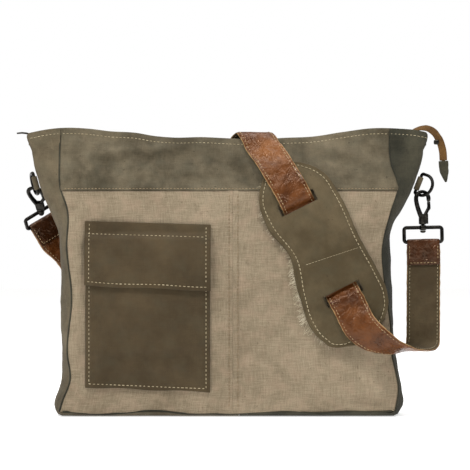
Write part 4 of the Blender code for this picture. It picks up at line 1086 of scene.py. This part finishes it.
def make_strap():
    route = strap_route()
    fine = ribbon_frames(smooth_route(route, ROUTE_STEPS))
    under_pad = ROUTE_STEPS * (STRAP_END_STATIONS + len(RIGHT_LEG) + len(FRONT) + 5)
    cuts = {"right": (0, under_pad), "left": (under_pad, len(fine) - 1)}
    for piece, (start, end) in cuts.items():
        frames, runs = resampled(fine[start:end + 1], 0.0022)
        sign = 1 if piece == "right" else -1
        slot_at = pad_point(sign * PAD_HALF, 0, STRAP_ON_PAD)
        clear_of_pad = pad_point(sign * (PAD_HALF + 0.045), 0, STRAP_ON_PAD)
        layers = [ribbon(f"strap_leather_{piece}_skin", frames, runs, STRAP_WIDTH, 0.0001, STRAP_LAYER,
                         "strap_leather", wrinkle=0.0010, seed=sign * 2.0, ragged=0.0004),
                  ribbon(f"strap_edge_{piece}", frames, runs, STRAP_WIDTH + 0.0016, -0.0005, 0.0006,
                         "leather_edge", columns=9, seed=sign * 3.0, ragged=0.0005),
                  ribbon(f"strap_canvas_{piece}_back", frames, runs, STRAP_WIDTH - 0.0004, -STRAP_LAYER,
                         -0.0002, "strap_canvas", wrinkle=0.0004, seed=sign * 2.0, ragged=0.0003)]
        for k, away in enumerate((-STRAP_WIDTH / 2 + 0.0027, STRAP_WIDTH / 2 - 0.0027)):
            layers.append(strap_stitches(f"strap_stitch_{piece}_{k}", frames, away, STRAP_LAYER,
                                         pitch=0.0043, length=0.0030, radius=0.00034))
            layers.append(strap_stitches(f"strap_back_stitch_{piece}_{k}", frames, away,
                                         -STRAP_LAYER, "cream_thread", pitch=0.0043, length=0.0028,
                                         radius=0.00030))
        for k, layer in enumerate(layers):
            follow_pad(layer)
        for layer, stuff in ((layers[0], "leather"), (layers[2], "canvas")):
            pad_run = [f"strap_{stuff}_pad_run"] if piece == "right" else []
            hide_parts(f"strap_{stuff}_{piece}", *pad_run)


def follow_pad(obj):
    """Bakes the layer's placement into its mesh; the layer rides on no body, neither the pad nor the bag."""
    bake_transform(obj)


# ---- the shoulder pad ----

PAD_LEFT_EDGE = [(-0.1080, -0.0060), (-0.1040, -0.0170), (-0.0930, -0.0300), (-0.0800, -0.0385),
                 (-0.0500, -0.0420), (0.0, -0.0340), (0.0400, -0.0445), (0.0730, -0.0497),
                 (0.0970, -0.0447), (0.1110, -0.0330), (0.1180, -0.0120)]
PAD_RIGHT_EDGE = [(-0.1080, 0.0060), (-0.1040, 0.0160), (-0.0930, 0.0310), (-0.0750, 0.0435),
                  (-0.0500, 0.0470), (0.0100, 0.0455), (0.0550, 0.0471), (0.0800, 0.0458),
                  (0.0980, 0.0370), (0.1100, 0.0220), (0.1180, 0.0020)]
pad_left, pad_right = table(PAD_LEFT_EDGE), table(PAD_RIGHT_EDGE)
PAD_TOP, PAD_BOTTOM = PAD_LEFT_EDGE[0][0], PAD_LEFT_EDGE[-1][0]
PAD_STITCH = 0.0040


def pad_crease(across):
    """Where the pad has been folded across its middle, and the fold stitched down."""
    return 0.0130 + 0.146 * across


def pad_edge_distance(along, across):
    """Distance from a point of the pad to its outline, roughly."""
    best = 1.0
    for a in np.linspace(along - 0.012, along + 0.012, 9):
        a = float(np.clip(a, PAD_TOP, PAD_BOTTOM))
        for edge in (float(pad_left(a)), float(pad_right(a))):
            best = min(best, math.hypot(a - along, edge - across))
    return min(best, along + 0.1095, 0.1195 - along)


def pad_face(along, across, out=0.0):
    """The pad's front face: padded in the middle, flat and thin at the stitched edge."""
    d = pad_edge_distance(along, across)
    fill = 1 - math.exp(-max(d - 0.0042, 0.0) / 0.0045) if d > 0.0042 else 0.0
    groove = 0.0005 * math.exp(-((d - PAD_STITCH) / 0.0010) ** 2)
    slot = min(abs(abs(along) - PAD_HALF), 0.02)
    press = 0.0010 * math.exp(-(slot / 0.010) ** 2) * (1 if abs(across) < 0.026 else 0.3)
    crease = 0.0012 * math.exp(-((along - pad_crease(across)) / 0.0028) ** 2)
    wave = 0.0009 * rough(along, across, 0.040, 60) + 0.0004 * rough(along, across, 0.014, 61)
    x, z = pad_place(along, across)
    off = 0.0076 + 0.0024 * fill - groove - press * fill - crease * fill + wave * fill
    return smooth_front(x, z, off + out)


def pad_back_face(along, across, out=0.0):
    x, z = pad_place(along, across)
    return smooth_front(x, z, 0.0058 - out)


def in_slot(along, across):
    return abs(abs(along) - PAD_HALF) < SLOT_LENGTH / 2 and abs(across) < SLOT_WIDTH / 2


def pad_sheet(name, face, thickness, step_along, step_across, flip, grow=0.0):
    half_slot = SLOT_LENGTH / 2
    alongs = [PAD_TOP]
    for stop in (-0.1040, -0.0930, -PAD_HALF - half_slot, -PAD_HALF + half_slot,
                 PAD_HALF - half_slot, PAD_HALF + half_slot, 0.0980, 0.1110, PAD_BOTTOM):
        count = max(2, int(round((stop - alongs[-1]) / step_along)))
        alongs += list(np.linspace(alongs[-1], stop, count + 1)[1:])
    rows = []
    half = SLOT_WIDTH / 2
    side, inner = int(0.022 / step_across), int(2 * half / step_across)
    for along in alongs:
        low, high = float(pad_left(along)), float(pad_right(along))
        low -= grow * (0.7 + 0.3 * math.sin(along * 90)) * math.exp(-((along - 0.010) / 0.075) ** 4)
        a, b = max(-half, low * 0.62), min(half, high * 0.62)
        ease = np.sin(np.linspace(0, 1, side + 1) * math.pi / 2)
        row = list(low + (a - low) * (1 - ease[::-1])) + list(np.linspace(a, b, inner + 1)[1:-1])
        row += list(b + (high - b) * ease)
        rows.append([(along, float(c)) for c in row])
    columns = len(rows[0])
    points = [face(a, c) for row in rows for a, c in row]
    uvs = [(a, c) for row in rows for a, c in row]
    faces = []
    for i in range(len(rows) - 1):
        middle = (alongs[i] + alongs[i + 1]) / 2
        for j in range(columns - 1):
            centre = (rows[i][j][1] + rows[i][j + 1][1]) / 2
            if in_slot(middle, centre):
                continue
            a = i * columns + j
            loop = (a, a + 1, a + columns + 1, a + columns)
            faces.append(loop[::-1] if flip else loop)
    obj = add_mesh(name, points, faces, "pad_canvas", uvs)
    solid = obj.modifiers.new("thickness", "SOLIDIFY")
    solid.thickness = thickness
    solid.offset = -1
    return obj


def outline(inset, count=150):
    """Places round the pad, a distance in from its edge."""
    places = []
    for table_at, sign, order in ((pad_right, -1, 1), (pad_left, 1, -1)):
        side = np.linspace(PAD_TOP + inset, PAD_BOTTOM - inset, count)[::order]
        raw = [(float(a), float(table_at(a))) for a in side]
        for i, (a, c) in enumerate(raw):
            before, after = raw[max(i - 1, 0)], raw[min(i + 1, len(raw) - 1)]
            t = unit((after[0] - before[0], after[1] - before[1]))
            normal = np.array((-t[1], t[0]))
            if normal[1] * sign < 0:
                normal = -normal
            places.append((a + normal[0] * inset * 0.6, c + normal[1] * inset))
    return places + [places[0]]


def make_pad():
    front = pad_sheet("pad_front_cloth", pad_face, 0.0010, 0.0022, 0.0016, True)
    back = pad_sheet("pad_back_cloth", pad_back_face, 0.0008, 0.004, 0.004, False, 0.0042)
    for obj, cad in ((front, ("pad_front", "pad_filling")), (back, ("pad_back",))):
        attach(obj, "shoulder_pad", "olive_canvas", *cad)
    alongs, acrosses = zip(*outline(0.0))
    float(max(acrosses) - min(acrosses))
    float(max(alongs) - min(alongs))
    edge = []
    for a, c in outline(0.0002):
        edge.append((pad_face(a, c) + pad_back_face(a, c)) / 2)
    rim_edge = tube("pad_edge", edge, 0.0013, "pad_canvas", 8, scale=[
        1 + 0.35 * noise.noise(Vector((i * 0.31, 2.0, 0))) for i in range(len(edge))])
    attach(rim_edge, "shoulder_pad", "olive_canvas")
    sew("pad_stitches", pad_face, outline(PAD_STITCH), body="shoulder_pad", lift=0.0004, pitch=0.0049,
        length=0.0033, radius=0.00044)
    fold = [(pad_crease(c), float(c)) for c in np.linspace(-0.024, 0.0415, 40)]
    sew("pad_fold_stitches", pad_face, fold, body="shoulder_pad", lift=0.0003, pitch=0.0036,
        length=0.0031, radius=0.00020)
    make_frays()


def make_frays():
    """Loose thread ends along the pad's left edge, thickest at its waist, where the cut shows."""
    points, faces = [], []
    for k in range(260):
        along = random.uniform(-0.098, 0.112) if k < 80 else random.gauss(0.030, 0.028)
        along = max(-0.100, min(0.112, along))
        place, ahead = [np.array(pad_back_face(a, float(pad_left(a)), 0.0012))
                        for a in (along, along + 0.001)]
        tangent = unit(ahead - place)
        outwards = unit(np.cross(tangent, (0, -1, 0)))
        if outwards[0] > 0:
            outwards = -outwards
        reach = random.uniform(0.0020, 0.0075) * (1.7 if 0.0 < along < 0.085 else 0.9)
        heading = outwards + tangent * random.uniform(-1.2, 1.4) + np.array((0, -0.25, 0))
        curl = tangent * random.uniform(-1, 1) * 0.8 + np.array((0, 0, -0.5))
        radius = random.uniform(0.00018, 0.00032)
        base = len(points)
        for i in range(5):
            s = i / 4
            centre = place + unit(heading) * reach * s + curl * reach * 0.5 * s * s
            for c in range(4):
                angle = math.pi / 2 * c
                points.append(centre + radius * (1 - 0.4 * s) * (
                    math.cos(angle) * tangent + math.sin(angle) * np.array((0, -1, 0))))
        faces += bar_faces(5, 4, base, ends=False)
    obj = add_mesh("pad_frays", points, faces, "fray_thread")
    attach(obj, "shoulder_pad", "olive_canvas")


# ---- metal fittings: the D-rings, the snap hooks and the strap's loops ----

WIRE = 0.0020
RING_WIRE = 0.0019
RING_HEIGHT = 0.2745
RING_OUT = 0.0043
RING_ROUND = 0.0125
HOOK_TOP = 0.0310
HOOK_ROUND = 0.0083
GATE_PIVOT = (0.0030, 0.0100)
GATE_TIP = (0.0083, 0.0268)
LOOP_TOP = -0.0030
LOOP_BOTTOM = -0.0200
LOOP_HALF = 0.0223
LOOP_ROUND = 0.0030
WRAP_LENGTH = 0.0270
WRAP_RADIUS = 0.0031
SIDES = {
    "right": {"fold": right_fold, "sign": 1, "out": (0.66, -0.62, -0.42), "pull": (0.02, -0.01, -1.0),
              "turn": 30, "loop": (1, 0, 0.05), "strap": (0, 0, -1)},
    "left": {"fold": left_fold, "sign": -1, "out": (-0.15, 0.90, -0.42), "pull": (0.12, 0.76, -0.64),
             "turn": 30, "loop": (0.80, 0.25, 0.545), "strap": (0.62, 0.02, -0.78)},
}


class Frame:
    """A flat frame in space: an origin, a direction across, one up, and the plane's normal."""

    def __init__(self, origin, across, up):
        self.origin = np.array(origin, float)
        self.up = unit(up)
        self.normal = unit(np.cross(across, self.up))
        self.across = np.cross(self.up, self.normal)

    def at(self, across, up, out=0.0):
        return self.origin + across * self.across + up * self.up + out * self.normal

    def turned(self, degrees):
        angle = math.radians(degrees)
        across = math.cos(angle) * self.across + math.sin(angle) * self.normal
        return Frame(self.origin, across, self.up)


def arc(centre, radius, start, end, count):
    return [(centre[0] + radius * math.cos(math.radians(a)),
             centre[1] + radius * math.sin(math.radians(a)))
            for a in np.linspace(start, end, count)]


def ring_frame(side):
    fold, height = side["fold"], RING_HEIGHT
    bar = unit((float(fold(height + 0.012) - fold(height - 0.012)), 0, 0.024))
    outwards = unit((bar[2] * side["sign"], 0, -bar[0] * side["sign"]))
    centre = np.array((float(fold(height)), 0, height)) + RING_OUT * outwards
    swing = np.array(side["out"]) - np.dot(side["out"], bar) * bar
    return Frame(centre, swing, bar)


def ring_outline(detail=1):
    half, corner, round_at = RING_ROUND, 0.0020, 0.0075
    flat = [(0, -half + corner), (0, -half / 3), (0, half / 3), (0, half - corner)]
    flat += arc((corner, half - corner), corner, 180, 90, 2 * detail + 1)[1:]
    flat += arc((round_at, 0), RING_ROUND, 90, -90, 10 * detail + 1)
    flat += arc((corner, -half + corner), corner, -90, -180, 2 * detail + 1)[:-1]
    return flat


def hook_frame(side):
    frame = ring_frame(side)
    pull = unit(side["pull"])
    path = [frame.at(a, u) for a, u in ring_outline()]
    held = max(range(len(path)), key=lambda i: float(np.dot(path[i], pull)))
    wire_way = unit(path[(held + 1) % len(path)] - path[held - 1])
    top = path[held] - pull * (RING_WIRE + WIRE + 0.0006)
    across = unit(np.cross(-pull, wire_way - np.dot(wire_way, pull) * pull))
    if across[0] < 0:
        across = -across
    return Frame(top + pull * (HOOK_TOP + HOOK_ROUND), across, -pull).turned(side["turn"])


def loop_frame(side):
    frame = hook_frame(side)
    return Frame(frame.origin, side["loop"], frame.up)


def bar_frame(which):
    loop = loop_frame(SIDES[which])
    down = np.array(SIDES[which]["strap"])
    return Frame(loop.at(0, LOOP_BOTTOM), loop.across, down - np.dot(down, loop.across) * loop.across)


def strap_end(which):
    bar = bar_frame(which)
    return [(bar.at(0, away), bar.across) for away in (0.0280, 0.0160, 0.0034)]


def lathe(name, frame, profile, sides=28, material="gunmetal"):
    """A turned piece about the frame's up axis, from (radius, up) pairs."""
    points = []
    for radius, up in profile:
        for k in range(sides):
            angle = 2 * math.pi * k / sides
            points.append(frame.at(radius * math.cos(angle), up, radius * math.sin(angle)))
    faces = []
    for i in range(len(profile) - 1):
        for k in range(sides):
            m = (k + 1) % sides
            faces.append((i * sides + k, (i + 1) * sides + k, (i + 1) * sides + m, i * sides + m))
    faces.append(tuple(range(sides)))
    faces.append(tuple((len(profile) - 1) * sides + k for k in reversed(range(sides))))
    return add_mesh(name, points, faces, material)


def soft_block(name, frame, centre, size, bevel=0.0007, material="gunmetal"):
    corners = [(i, j, k) for i in (-1, 1) for j in (-1, 1) for k in (-1, 1)]
    points = [frame.at(*(c + s * w / 2 for c, s, w in zip(centre, corner, size))) for corner in corners]
    obj = add_mesh(name, points, BOX_FACES, material)
    round_off = obj.modifiers.new("bevel", "BEVEL")
    round_off.width = bevel
    round_off.segments = 3
    return obj


def make_fittings(which):
    side = SIDES[which]
    ring = ring_frame(side)
    path = [ring.at(a, u) for a, u in ring_outline(3)]
    d_ring = tube(f"{which}_d_ring_wire", path, RING_WIRE, "gunmetal", 16, closed=True)
    attach(d_ring, f"{which}_d_ring", "gunmetal", f"{which}_d_ring")
    sleeve = lathe(f"{which}_ring_sleeve", Frame(ring.origin, ring.across, ring.up),
                   [(0.0022, -0.0080), (0.0031, -0.0081), (0.0034, -0.0070), (0.0034, 0.0), (0.0034, 0.0070),
                    (0.0031, 0.0081), (0.0022, 0.0080)], 20, "side_canvas")
    attach(sleeve, "bag", "olive_canvas", f"{which}_ring_tab")

    hook = hook_frame(side)
    body = f"{which}_hook"
    left = [(-0.0012, 0.0085), (-0.0028, 0.0115), (-0.0045, 0.0155), (-0.0060, 0.0195), (-0.0073, 0.0240),
            (-0.0082, 0.0285)]
    flat = left + arc((0, HOOK_TOP), HOOK_ROUND, 180, 0, 25) + [(HOOK_ROUND, 0.0296), (HOOK_ROUND, 0.0278)]
    over = [1 - 0.24 * math.exp(-((k - 12) / 6) ** 2) for k in range(25)]
    scale = [1.2, 1.15, 1.1, 1.06, 1.03, 1.0] + over + [0.92, 0.80]
    wire = tube(f"{which}_hook_wire", [hook.at(*p) for p in flat], 0.0026, "gunmetal", 16, scale=scale)
    attach(wire, body, "gunmetal", f"{which}_hook_body")
    cheeks = [soft_block(f"{which}_hook_cheek_{k}", hook,
                         (0.0010, 0.0072, out), (0.0098, 0.0118, 0.0014), 0.0006)
              for k, out in enumerate((-0.0025, 0.0025))]
    cheeks.append(soft_block(f"{which}_hook_web", hook,
                             (-0.0022, 0.0060, 0), (0.0042, 0.0104, 0.0046), 0.0006))
    cheeks.append(lathe(f"{which}_hook_neck", hook, [(0.0020, -0.0062), (0.0020, 0.0002), (0.0036, 0.0008),
                                                     (0.0044, 0.0018), (0.0044, 0.0030), (0.0036, 0.0040)]))
    cheeks.append(lathe(f"{which}_hook_rivet", hook, [(0.0012, -0.0094), (0.0027, -0.0088), (0.0034, -0.0078),
                                                      (0.0033, -0.0066), (0.0020, -0.0064)]))
    for piece in cheeks:
        attach(piece, body, "gunmetal")
    pin_frame = Frame(hook.at(*GATE_PIVOT), hook.across, hook.normal)
    pin = lathe(f"{which}_pin_rivet", pin_frame, [(0.0006, -0.0038), (0.0013, -0.0036), (0.0013, -0.0032),
                                                  (0.0009, -0.0031), (0.0009, 0.0031), (0.0013, 0.0032),
                                                  (0.0013, 0.0036), (0.0006, 0.0038)], 16)
    attach(pin, body, "gunmetal", f"{which}_gate_pin")
    coil = []
    for k in range(41):
        angle = 2 * math.pi * k / 10
        coil.append(hook.at(GATE_PIVOT[0] + 0.0017 * math.cos(angle),
                            GATE_PIVOT[1] + 0.0017 * math.sin(angle),
                            0.0006 + 0.0010 * k / 40))
    spring = tube(f"{which}_spring_wire", coil, 0.00016, "gunmetal", 6)
    attach(spring, body, "gunmetal", f"{which}_gate_spring")

    pivot, tip = np.array(GATE_PIVOT), np.array(GATE_TIP)
    way = unit(tip - pivot)
    side_way = np.array((way[1], -way[0]))
    gate_path = [pivot + way * s + side_way * b for s, b in (
        (-0.0010, 0.0), (0.0010, 0.0), (0.0040, 0.0002), (0.0075, 0.0010), (0.0110, 0.0022),
        (0.0140, 0.0014), (0.0165, 0.0004), (0.0184, 0.0))]
    gate = tube(f"{which}_gate_bar", [hook.at(*p) for p in gate_path], 0.0020, "gunmetal", 14,
                scale=[1.2, 1.35, 1.1, 1.0, 1.15, 1.0, 1.0, 0.9])
    attach(gate, f"{which}_gate", "gunmetal", f"{which}_hook_gate")
    knob = soft_block(f"{which}_gate_thumb", hook, (*(pivot + way * 0.0118 + side_way * 0.0018), 0),
                      (0.0030, 0.0040, 0.0030), 0.0008)
    attach(knob, f"{which}_gate", "gunmetal")

    loop = loop_frame(side)
    half, corner = LOOP_HALF, LOOP_ROUND
    flat = []
    for x, up, angle in ((-half + corner, LOOP_TOP - corner, 180), (half - corner, LOOP_TOP - corner, 90),
                         (half - corner, LOOP_BOTTOM + corner, 0),
                          (-half + corner, LOOP_BOTTOM + corner, -90)):
        flat += arc((x, up), corner, angle, angle - 90, 9)
    loop_wire = tube(f"{which}_loop_wire", [loop.at(*p) for p in flat], 0.0022, "gunmetal", 16, closed=True)
    attach(loop_wire, "bag", "gunmetal", f"{which}_strap_loop")
    boss = lathe(f"{which}_loop_boss", loop, [(0.0026, -0.0060), (0.0036, -0.0061), (0.0043, -0.0052),
                                              (0.0046, -0.0034), (0.0043, -0.0012), (0.0034, -0.0002),
                                              (0.0026, -0.0001)])
    attach(boss, "bag", "gunmetal")
    make_wrap(which)


def make_wrap(which):
    bar = bar_frame(which)
    radius = WRAP_RADIUS
    path = [(-radius, away) for away in np.linspace(WRAP_LENGTH, 0.004, 9)]
    path += [(-radius * math.cos(a), -radius * math.sin(a)) for a in np.linspace(0, math.pi, 13)]
    path += [(radius, away) for away in np.linspace(0.004, WRAP_LENGTH, 9)]
    frames = ribbon_frames([(bar.at(0, away, out), bar.across) for out, away in path])
    fine, runs = resampled(frames, 0.0012)
    wrap = ribbon(f"wrap_leather_{which}", fine, runs, STRAP_WIDTH, -0.0006, 0.0006, "wrap_leather",
                  wrinkle=0.0005, seed=7.0 if which == "left" else 8.0, ragged=0.0003)
    attach(wrap, "bag", "leather", f"strap_wrap_{which}")
    for face in (-1, 1):
        level = face * (radius + 0.0007)
        ends = [bar.at(a, WRAP_LENGTH - 0.0025, level) for a in np.linspace(-0.0170, 0.0170, 24)]
        sides = [[bar.at(s * 0.0166, a, level) for a in np.linspace(0.004, WRAP_LENGTH - 0.003, 14)]
                 for s in (-1, 1)]
        for k, line in enumerate([ends] + sides):
            row = stitches(f"wrap_stitch_{which}_{k}_{'front' if face < 0 else 'back'}", line,
                           [bar.normal * face] * len(line), "tan_thread", pitch=0.0040, length=0.0028,
                           radius=0.00034)
            attach(row, "bag", "leather")


# ---- the zip and its loose tail ----

ZIP_Z = 0.3210
TAPE = 0.0007
TAPE_TOP = ZIP_Z + 0.00035
TAPE_OUTER = 0.0056
SLIDER_X = -0.2165
TEETH_INNER = 0.0010
TEETH_OUTER = 0.0026
ZIP_HALF_START = -0.2060
ZIP_HALF_END = 0.1850
PULL_PIVOT = (-0.2190, 0.3252)
TAIL = [((0.2050, 0, 0.3222), (0, 1, 0)), ((0.2120, 0, 0.3310), (0, 1, 0)),
        ((0.2215, 0, 0.3366), (0.05, 0.85, 0.30)), ((0.2330, -0.001, 0.3385), (0.25, 0.60, 0.70)),
        ((0.2420, -0.002, 0.3345), (0.60, 0.35, 0.65)), ((0.2490, -0.003, 0.3250), (0.85, 0.20, 0.40)),
        ((0.2530, -0.003, 0.3130), (0.97, 0.10, 0.20)), ((0.2542, -0.003, 0.3000), (1, 0, 0.05))]
TAIL_CAP = [((0.2542, -0.003, 0.2995), (1, 0, 0.05)), ((0.2550, -0.003, 0.2880), (1, 0, 0.10)),
            ((0.2572, -0.003, 0.2745), (1, 0, 0.15))]


def make_zip():
    flat = Frame((0, 0, ZIP_Z), (1, 0, 0), (0, 0, 1))
    for name, sign in (("front", -1), ("back", 1)):
        tape = []
        for y in (0.0020, 0.0035, TAPE_OUTER):
            tape.append([np.array((x, sign * y, TAPE_TOP))
                         for x in np.linspace(ZIP_HALF_START, ZIP_HALF_END, 90)])
        obj = cloth(f"zip_tape_{name}_cloth", tape, "zip_tape", TAPE, flip=sign < 0)
        attach(obj, f"zip_half_{name}", "zip_tape", f"zip_tape_{name}")
        points, faces = [], []
        shift = 0.0010 if sign > 0 else 0.0
        for x in np.arange(ZIP_HALF_START + 0.0005 + shift, ZIP_HALF_END - 0.001, 0.0020):
            base = len(points)
            for dx in (-0.00055, 0.00055):
                for y in (TEETH_INNER * 0.3, TEETH_OUTER):
                    for dz in (-0.0010, 0.0010):
                        points.append((x + dx * (1 if y > 0.001 else 0.7), sign * y, ZIP_Z + dz))
            faces += [tuple(base + k for k in face) for face in BOX_FACES]
        teeth = add_mesh(f"zip_teeth_{name}_row", points, faces, "brass", smooth=False)
        attach(teeth, f"zip_half_{name}", "brass", f"zip_teeth_{name}")
    body = [soft_block("slider_top", flat, (SLIDER_X, 0.0023, 0),
                       (0.0110, 0.0010, 0.0080), 0.0004, "brass"),
            soft_block("slider_under", flat, (SLIDER_X, -0.0023, 0),
                       (0.0110, 0.0010, 0.0080), 0.0004, "brass"),
            soft_block("slider_post", flat, (-0.2190, 0, 0), (0.0050, 0.0050, 0.0013), 0.0003, "brass")]
    x, z = PULL_PIVOT
    bail = [(x - 0.0022, -0.0018), (x - 0.0022, 0.0), (x - 0.0012, 0.0008), (x + 0.0012, 0.0008),
            (x + 0.0022, 0.0), (x + 0.0022, -0.0018)]
    for y in (-0.0017, 0.0017):
        body.append(tube(f"slider_bail_{'front' if y < 0 else 'back'}", [(a, y, z + b) for a, b in bail],
                         0.0005, "brass", 8))
    body.append(tube("slider_pin", [(x, -0.0019, z), (x, 0.0019, z)], 0.0005, "brass", 10))
    for piece in body:
        attach(piece, "zip_slider", "brass")
    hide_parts("zip_slider")
    pull_path = [(x + 0.0012 * math.cos(a), 0, z + 0.0012 * math.sin(a)) for a in np.linspace(0.5, 5.2, 12)]
    eye = tube("pull_eye", pull_path, 0.0005, "gunmetal", 8)
    run = [(-0.2202, 0.3254), (-0.2260, 0.3275), (-0.2320, 0.3302), (-0.2380, 0.3322), (-0.2440, 0.3328),
           (-0.2500, 0.3322)]
    stick = tube("pull_stick", [(a, 0.0, b) for a, b in run], 0.0011, "gunmetal", 10,
                 scale=[0.7, 0.9, 1.0, 1.05, 1.05, 0.85])
    for piece in (eye, stick):
        attach(piece, "zip_pull", "gunmetal")
    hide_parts("zip_pull")
    for name, start, end in (("left", -0.2232, -0.2063), ("right", 0.1853, 0.2037)):
        for sign, tag in ((-1, "front"), (1, "back")):
            grid = [[np.array((a, sign * y, TAPE_TOP)) for a in np.linspace(start, end, 12)]
                    for y in (0.0014, 0.0030, TAPE_OUTER)]
            obj = cloth(f"zip_end_{name}_{tag}", grid, "zip_tape", TAPE, flip=sign < 0)
            attach(obj, "bag", "zip_tape", f"zip_end_{name}")

    frames, runs = resampled(ribbon_frames(smooth_route(TAIL, ROUTE_STEPS)), 0.0011)
    tail = ribbon("zip_tail_tape", frames, runs, 0.0090, -0.0010, 0.0006, "tail_tape", columns=11,
                  wrinkle=0.0004, seed=11.0, ragged=0.0003)
    points, faces = [], []
    for centre, ruling, normal in frames[::2]:
        base = len(points)
        up = unit(normal)
        along = unit(np.cross(up, ruling))
        for s in (-1, 1):
            for r in (-1, 1):
                for h in (0.0004, 0.0016):
                    points.append(centre + along * s * 0.0006 + unit(ruling) * r * 0.0021 + up * h)
        faces += [tuple(base + k for k in face) for face in BOX_FACES]
    teeth = add_mesh("zip_tail_teeth", points, faces, "brass", smooth=False)
    for piece in (tail, teeth):
        attach(piece, "bag", "zip_tape")
    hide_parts("zip_tail")
    stop = soft_block("zip_tail_stop", flat, (0.2458, 0.0007, 0.003), (0.0060, 0.0058, 0.0060), 0.0016)
    attach(stop, "bag", "gunmetal")
    frames, runs = resampled(ribbon_frames(smooth_route(TAIL_CAP, ROUTE_STEPS)), 0.0010)
    taper = [(c, r * (1 - 0.95 * max(0.0, s / runs[-1] - 0.40) ** 1.3 / 0.60), n)
             for (c, r, n), s in zip(frames, runs)]
    cap = ribbon("zip_cap_cloth", taper, runs, 0.0112, -0.0017, 0.0017, "grey_canvas", columns=11,
                 edge=0.0009, wrinkle=0.0006, seed=12.0, ragged=0.0006)
    attach(cap, "bag", "olive_canvas", "zip_tail_cap")
    for k, away in enumerate((-0.0036, 0.0036)):
        row = strap_stitches(f"cap_stitch_{k}", taper[1:-4], away, 0.0017, "cream_thread", pitch=0.0036,
                             length=0.0025, radius=0.00030)
        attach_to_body(row, "bag")


# ---- the lining and its inner pocket ----

LINING_ROOM = 0.0070
LINING_TOP = 0.3000
LINING_FLOOR = 0.0085
LINING_CLOTH = 0.0006


def lining_room(z):
    """The lining hangs clear of the outer cloth, and closes up towards the zip."""
    return min(LINING_ROOM, 0.55 * float(half_depth(z)))


def lining_ring(z):
    """One level of the lining sack: the bag's section, set in from it, with loose folds."""
    room = lining_room(z)
    low, high = float(left_seam(z)) + room, float(right_seam(z)) - room
    side = np.linspace(low, high, 90)
    end = np.linspace(-0.9, 0.9, 16)
    points = [(x, -(float(skin_y(x, z)) - room), z) for x in side]
    points += [(high + max(0.0, 0.7 * float(right_fold(z) - right_seam(z)) * (1 - y * y)),
                y * (float(half_depth(z)) - room), z) for y in end]
    points += [(x, float(skin_y(x, z)) - room, z) for x in side[::-1]]
    points += [(low + min(0.0, 0.7 * float(left_fold(z) - left_seam(z)) * (1 - y * y)),
                y * (float(half_depth(z)) - room), z) for y in end[::-1]]
    ring = []
    for x, y, z in points + points[:1]:
        sag = 0.0010 * (1 + rough(x, z, 0.030, 70)) + 0.0004 * rough(x, z, 0.010, 71)
        ring.append(np.array((x, y - math.copysign(min(sag, 0.3 * abs(y)), y), z)))
    return ring


def lining_back(x, z, out=0.0):
    """The side of the lining that faces into the bag, on the back wall."""
    return np.array((x, float(skin_y(x, z)) - lining_room(z) - 0.0034 - out, z))


def make_lining():
    grid = [lining_ring(float(z)) for z in np.concatenate([
        np.linspace(LINING_FLOOR, 0.290, 56), [0.2935, 0.2960, 0.2985, LINING_TOP]])]
    sack = cloth("lining_cloth", grid, "lining_cotton", LINING_CLOTH)
    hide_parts("lining")
    level = lining_ring(LINING_FLOOR)
    floor = []
    for share in np.linspace(-1, 1, 14):
        depth = float(half_depth(LINING_FLOOR)) - lining_room(LINING_FLOOR)
        floor.append([np.array((p[0], share * depth, LINING_FLOOR + 0.0005 * rough(p[0], share, 0.03, 72)))
                      for p in level[:90]])
    base = cloth("lining_floor_cloth", floor, "lining_cotton", LINING_CLOTH)
    patch = [[lining_back(float(x), float(z), 0.0006 * rough(x, z, 0.03, 73))
              for x in np.linspace(-0.085, 0.085, 50)]
             for z in np.linspace(0.120, 0.235, 36)]
    pocket = cloth("inner_pocket_cloth", patch, "lining_cotton", LINING_CLOTH)
    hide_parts("inner_pocket")
    for piece in (sack, base, pocket):
        attach(piece, "bag", "lining_cotton")
    sew("inner_pocket_stitches", lining_back,
        [(-0.082, 0.233), (-0.082, 0.123), (0.082, 0.123), (0.082, 0.233)],
        lift=0.0008, pitch=0.0040, length=0.0027, radius=0.00030)


make_stage()
make_materials()
make_front()
make_bands()
make_back()
make_gussets()
make_gusset_hems()
make_piping()
make_pocket()
make_strap()
make_pad()
for which_side in SIDES:
    make_fittings(which_side)
make_zip()
make_lining()
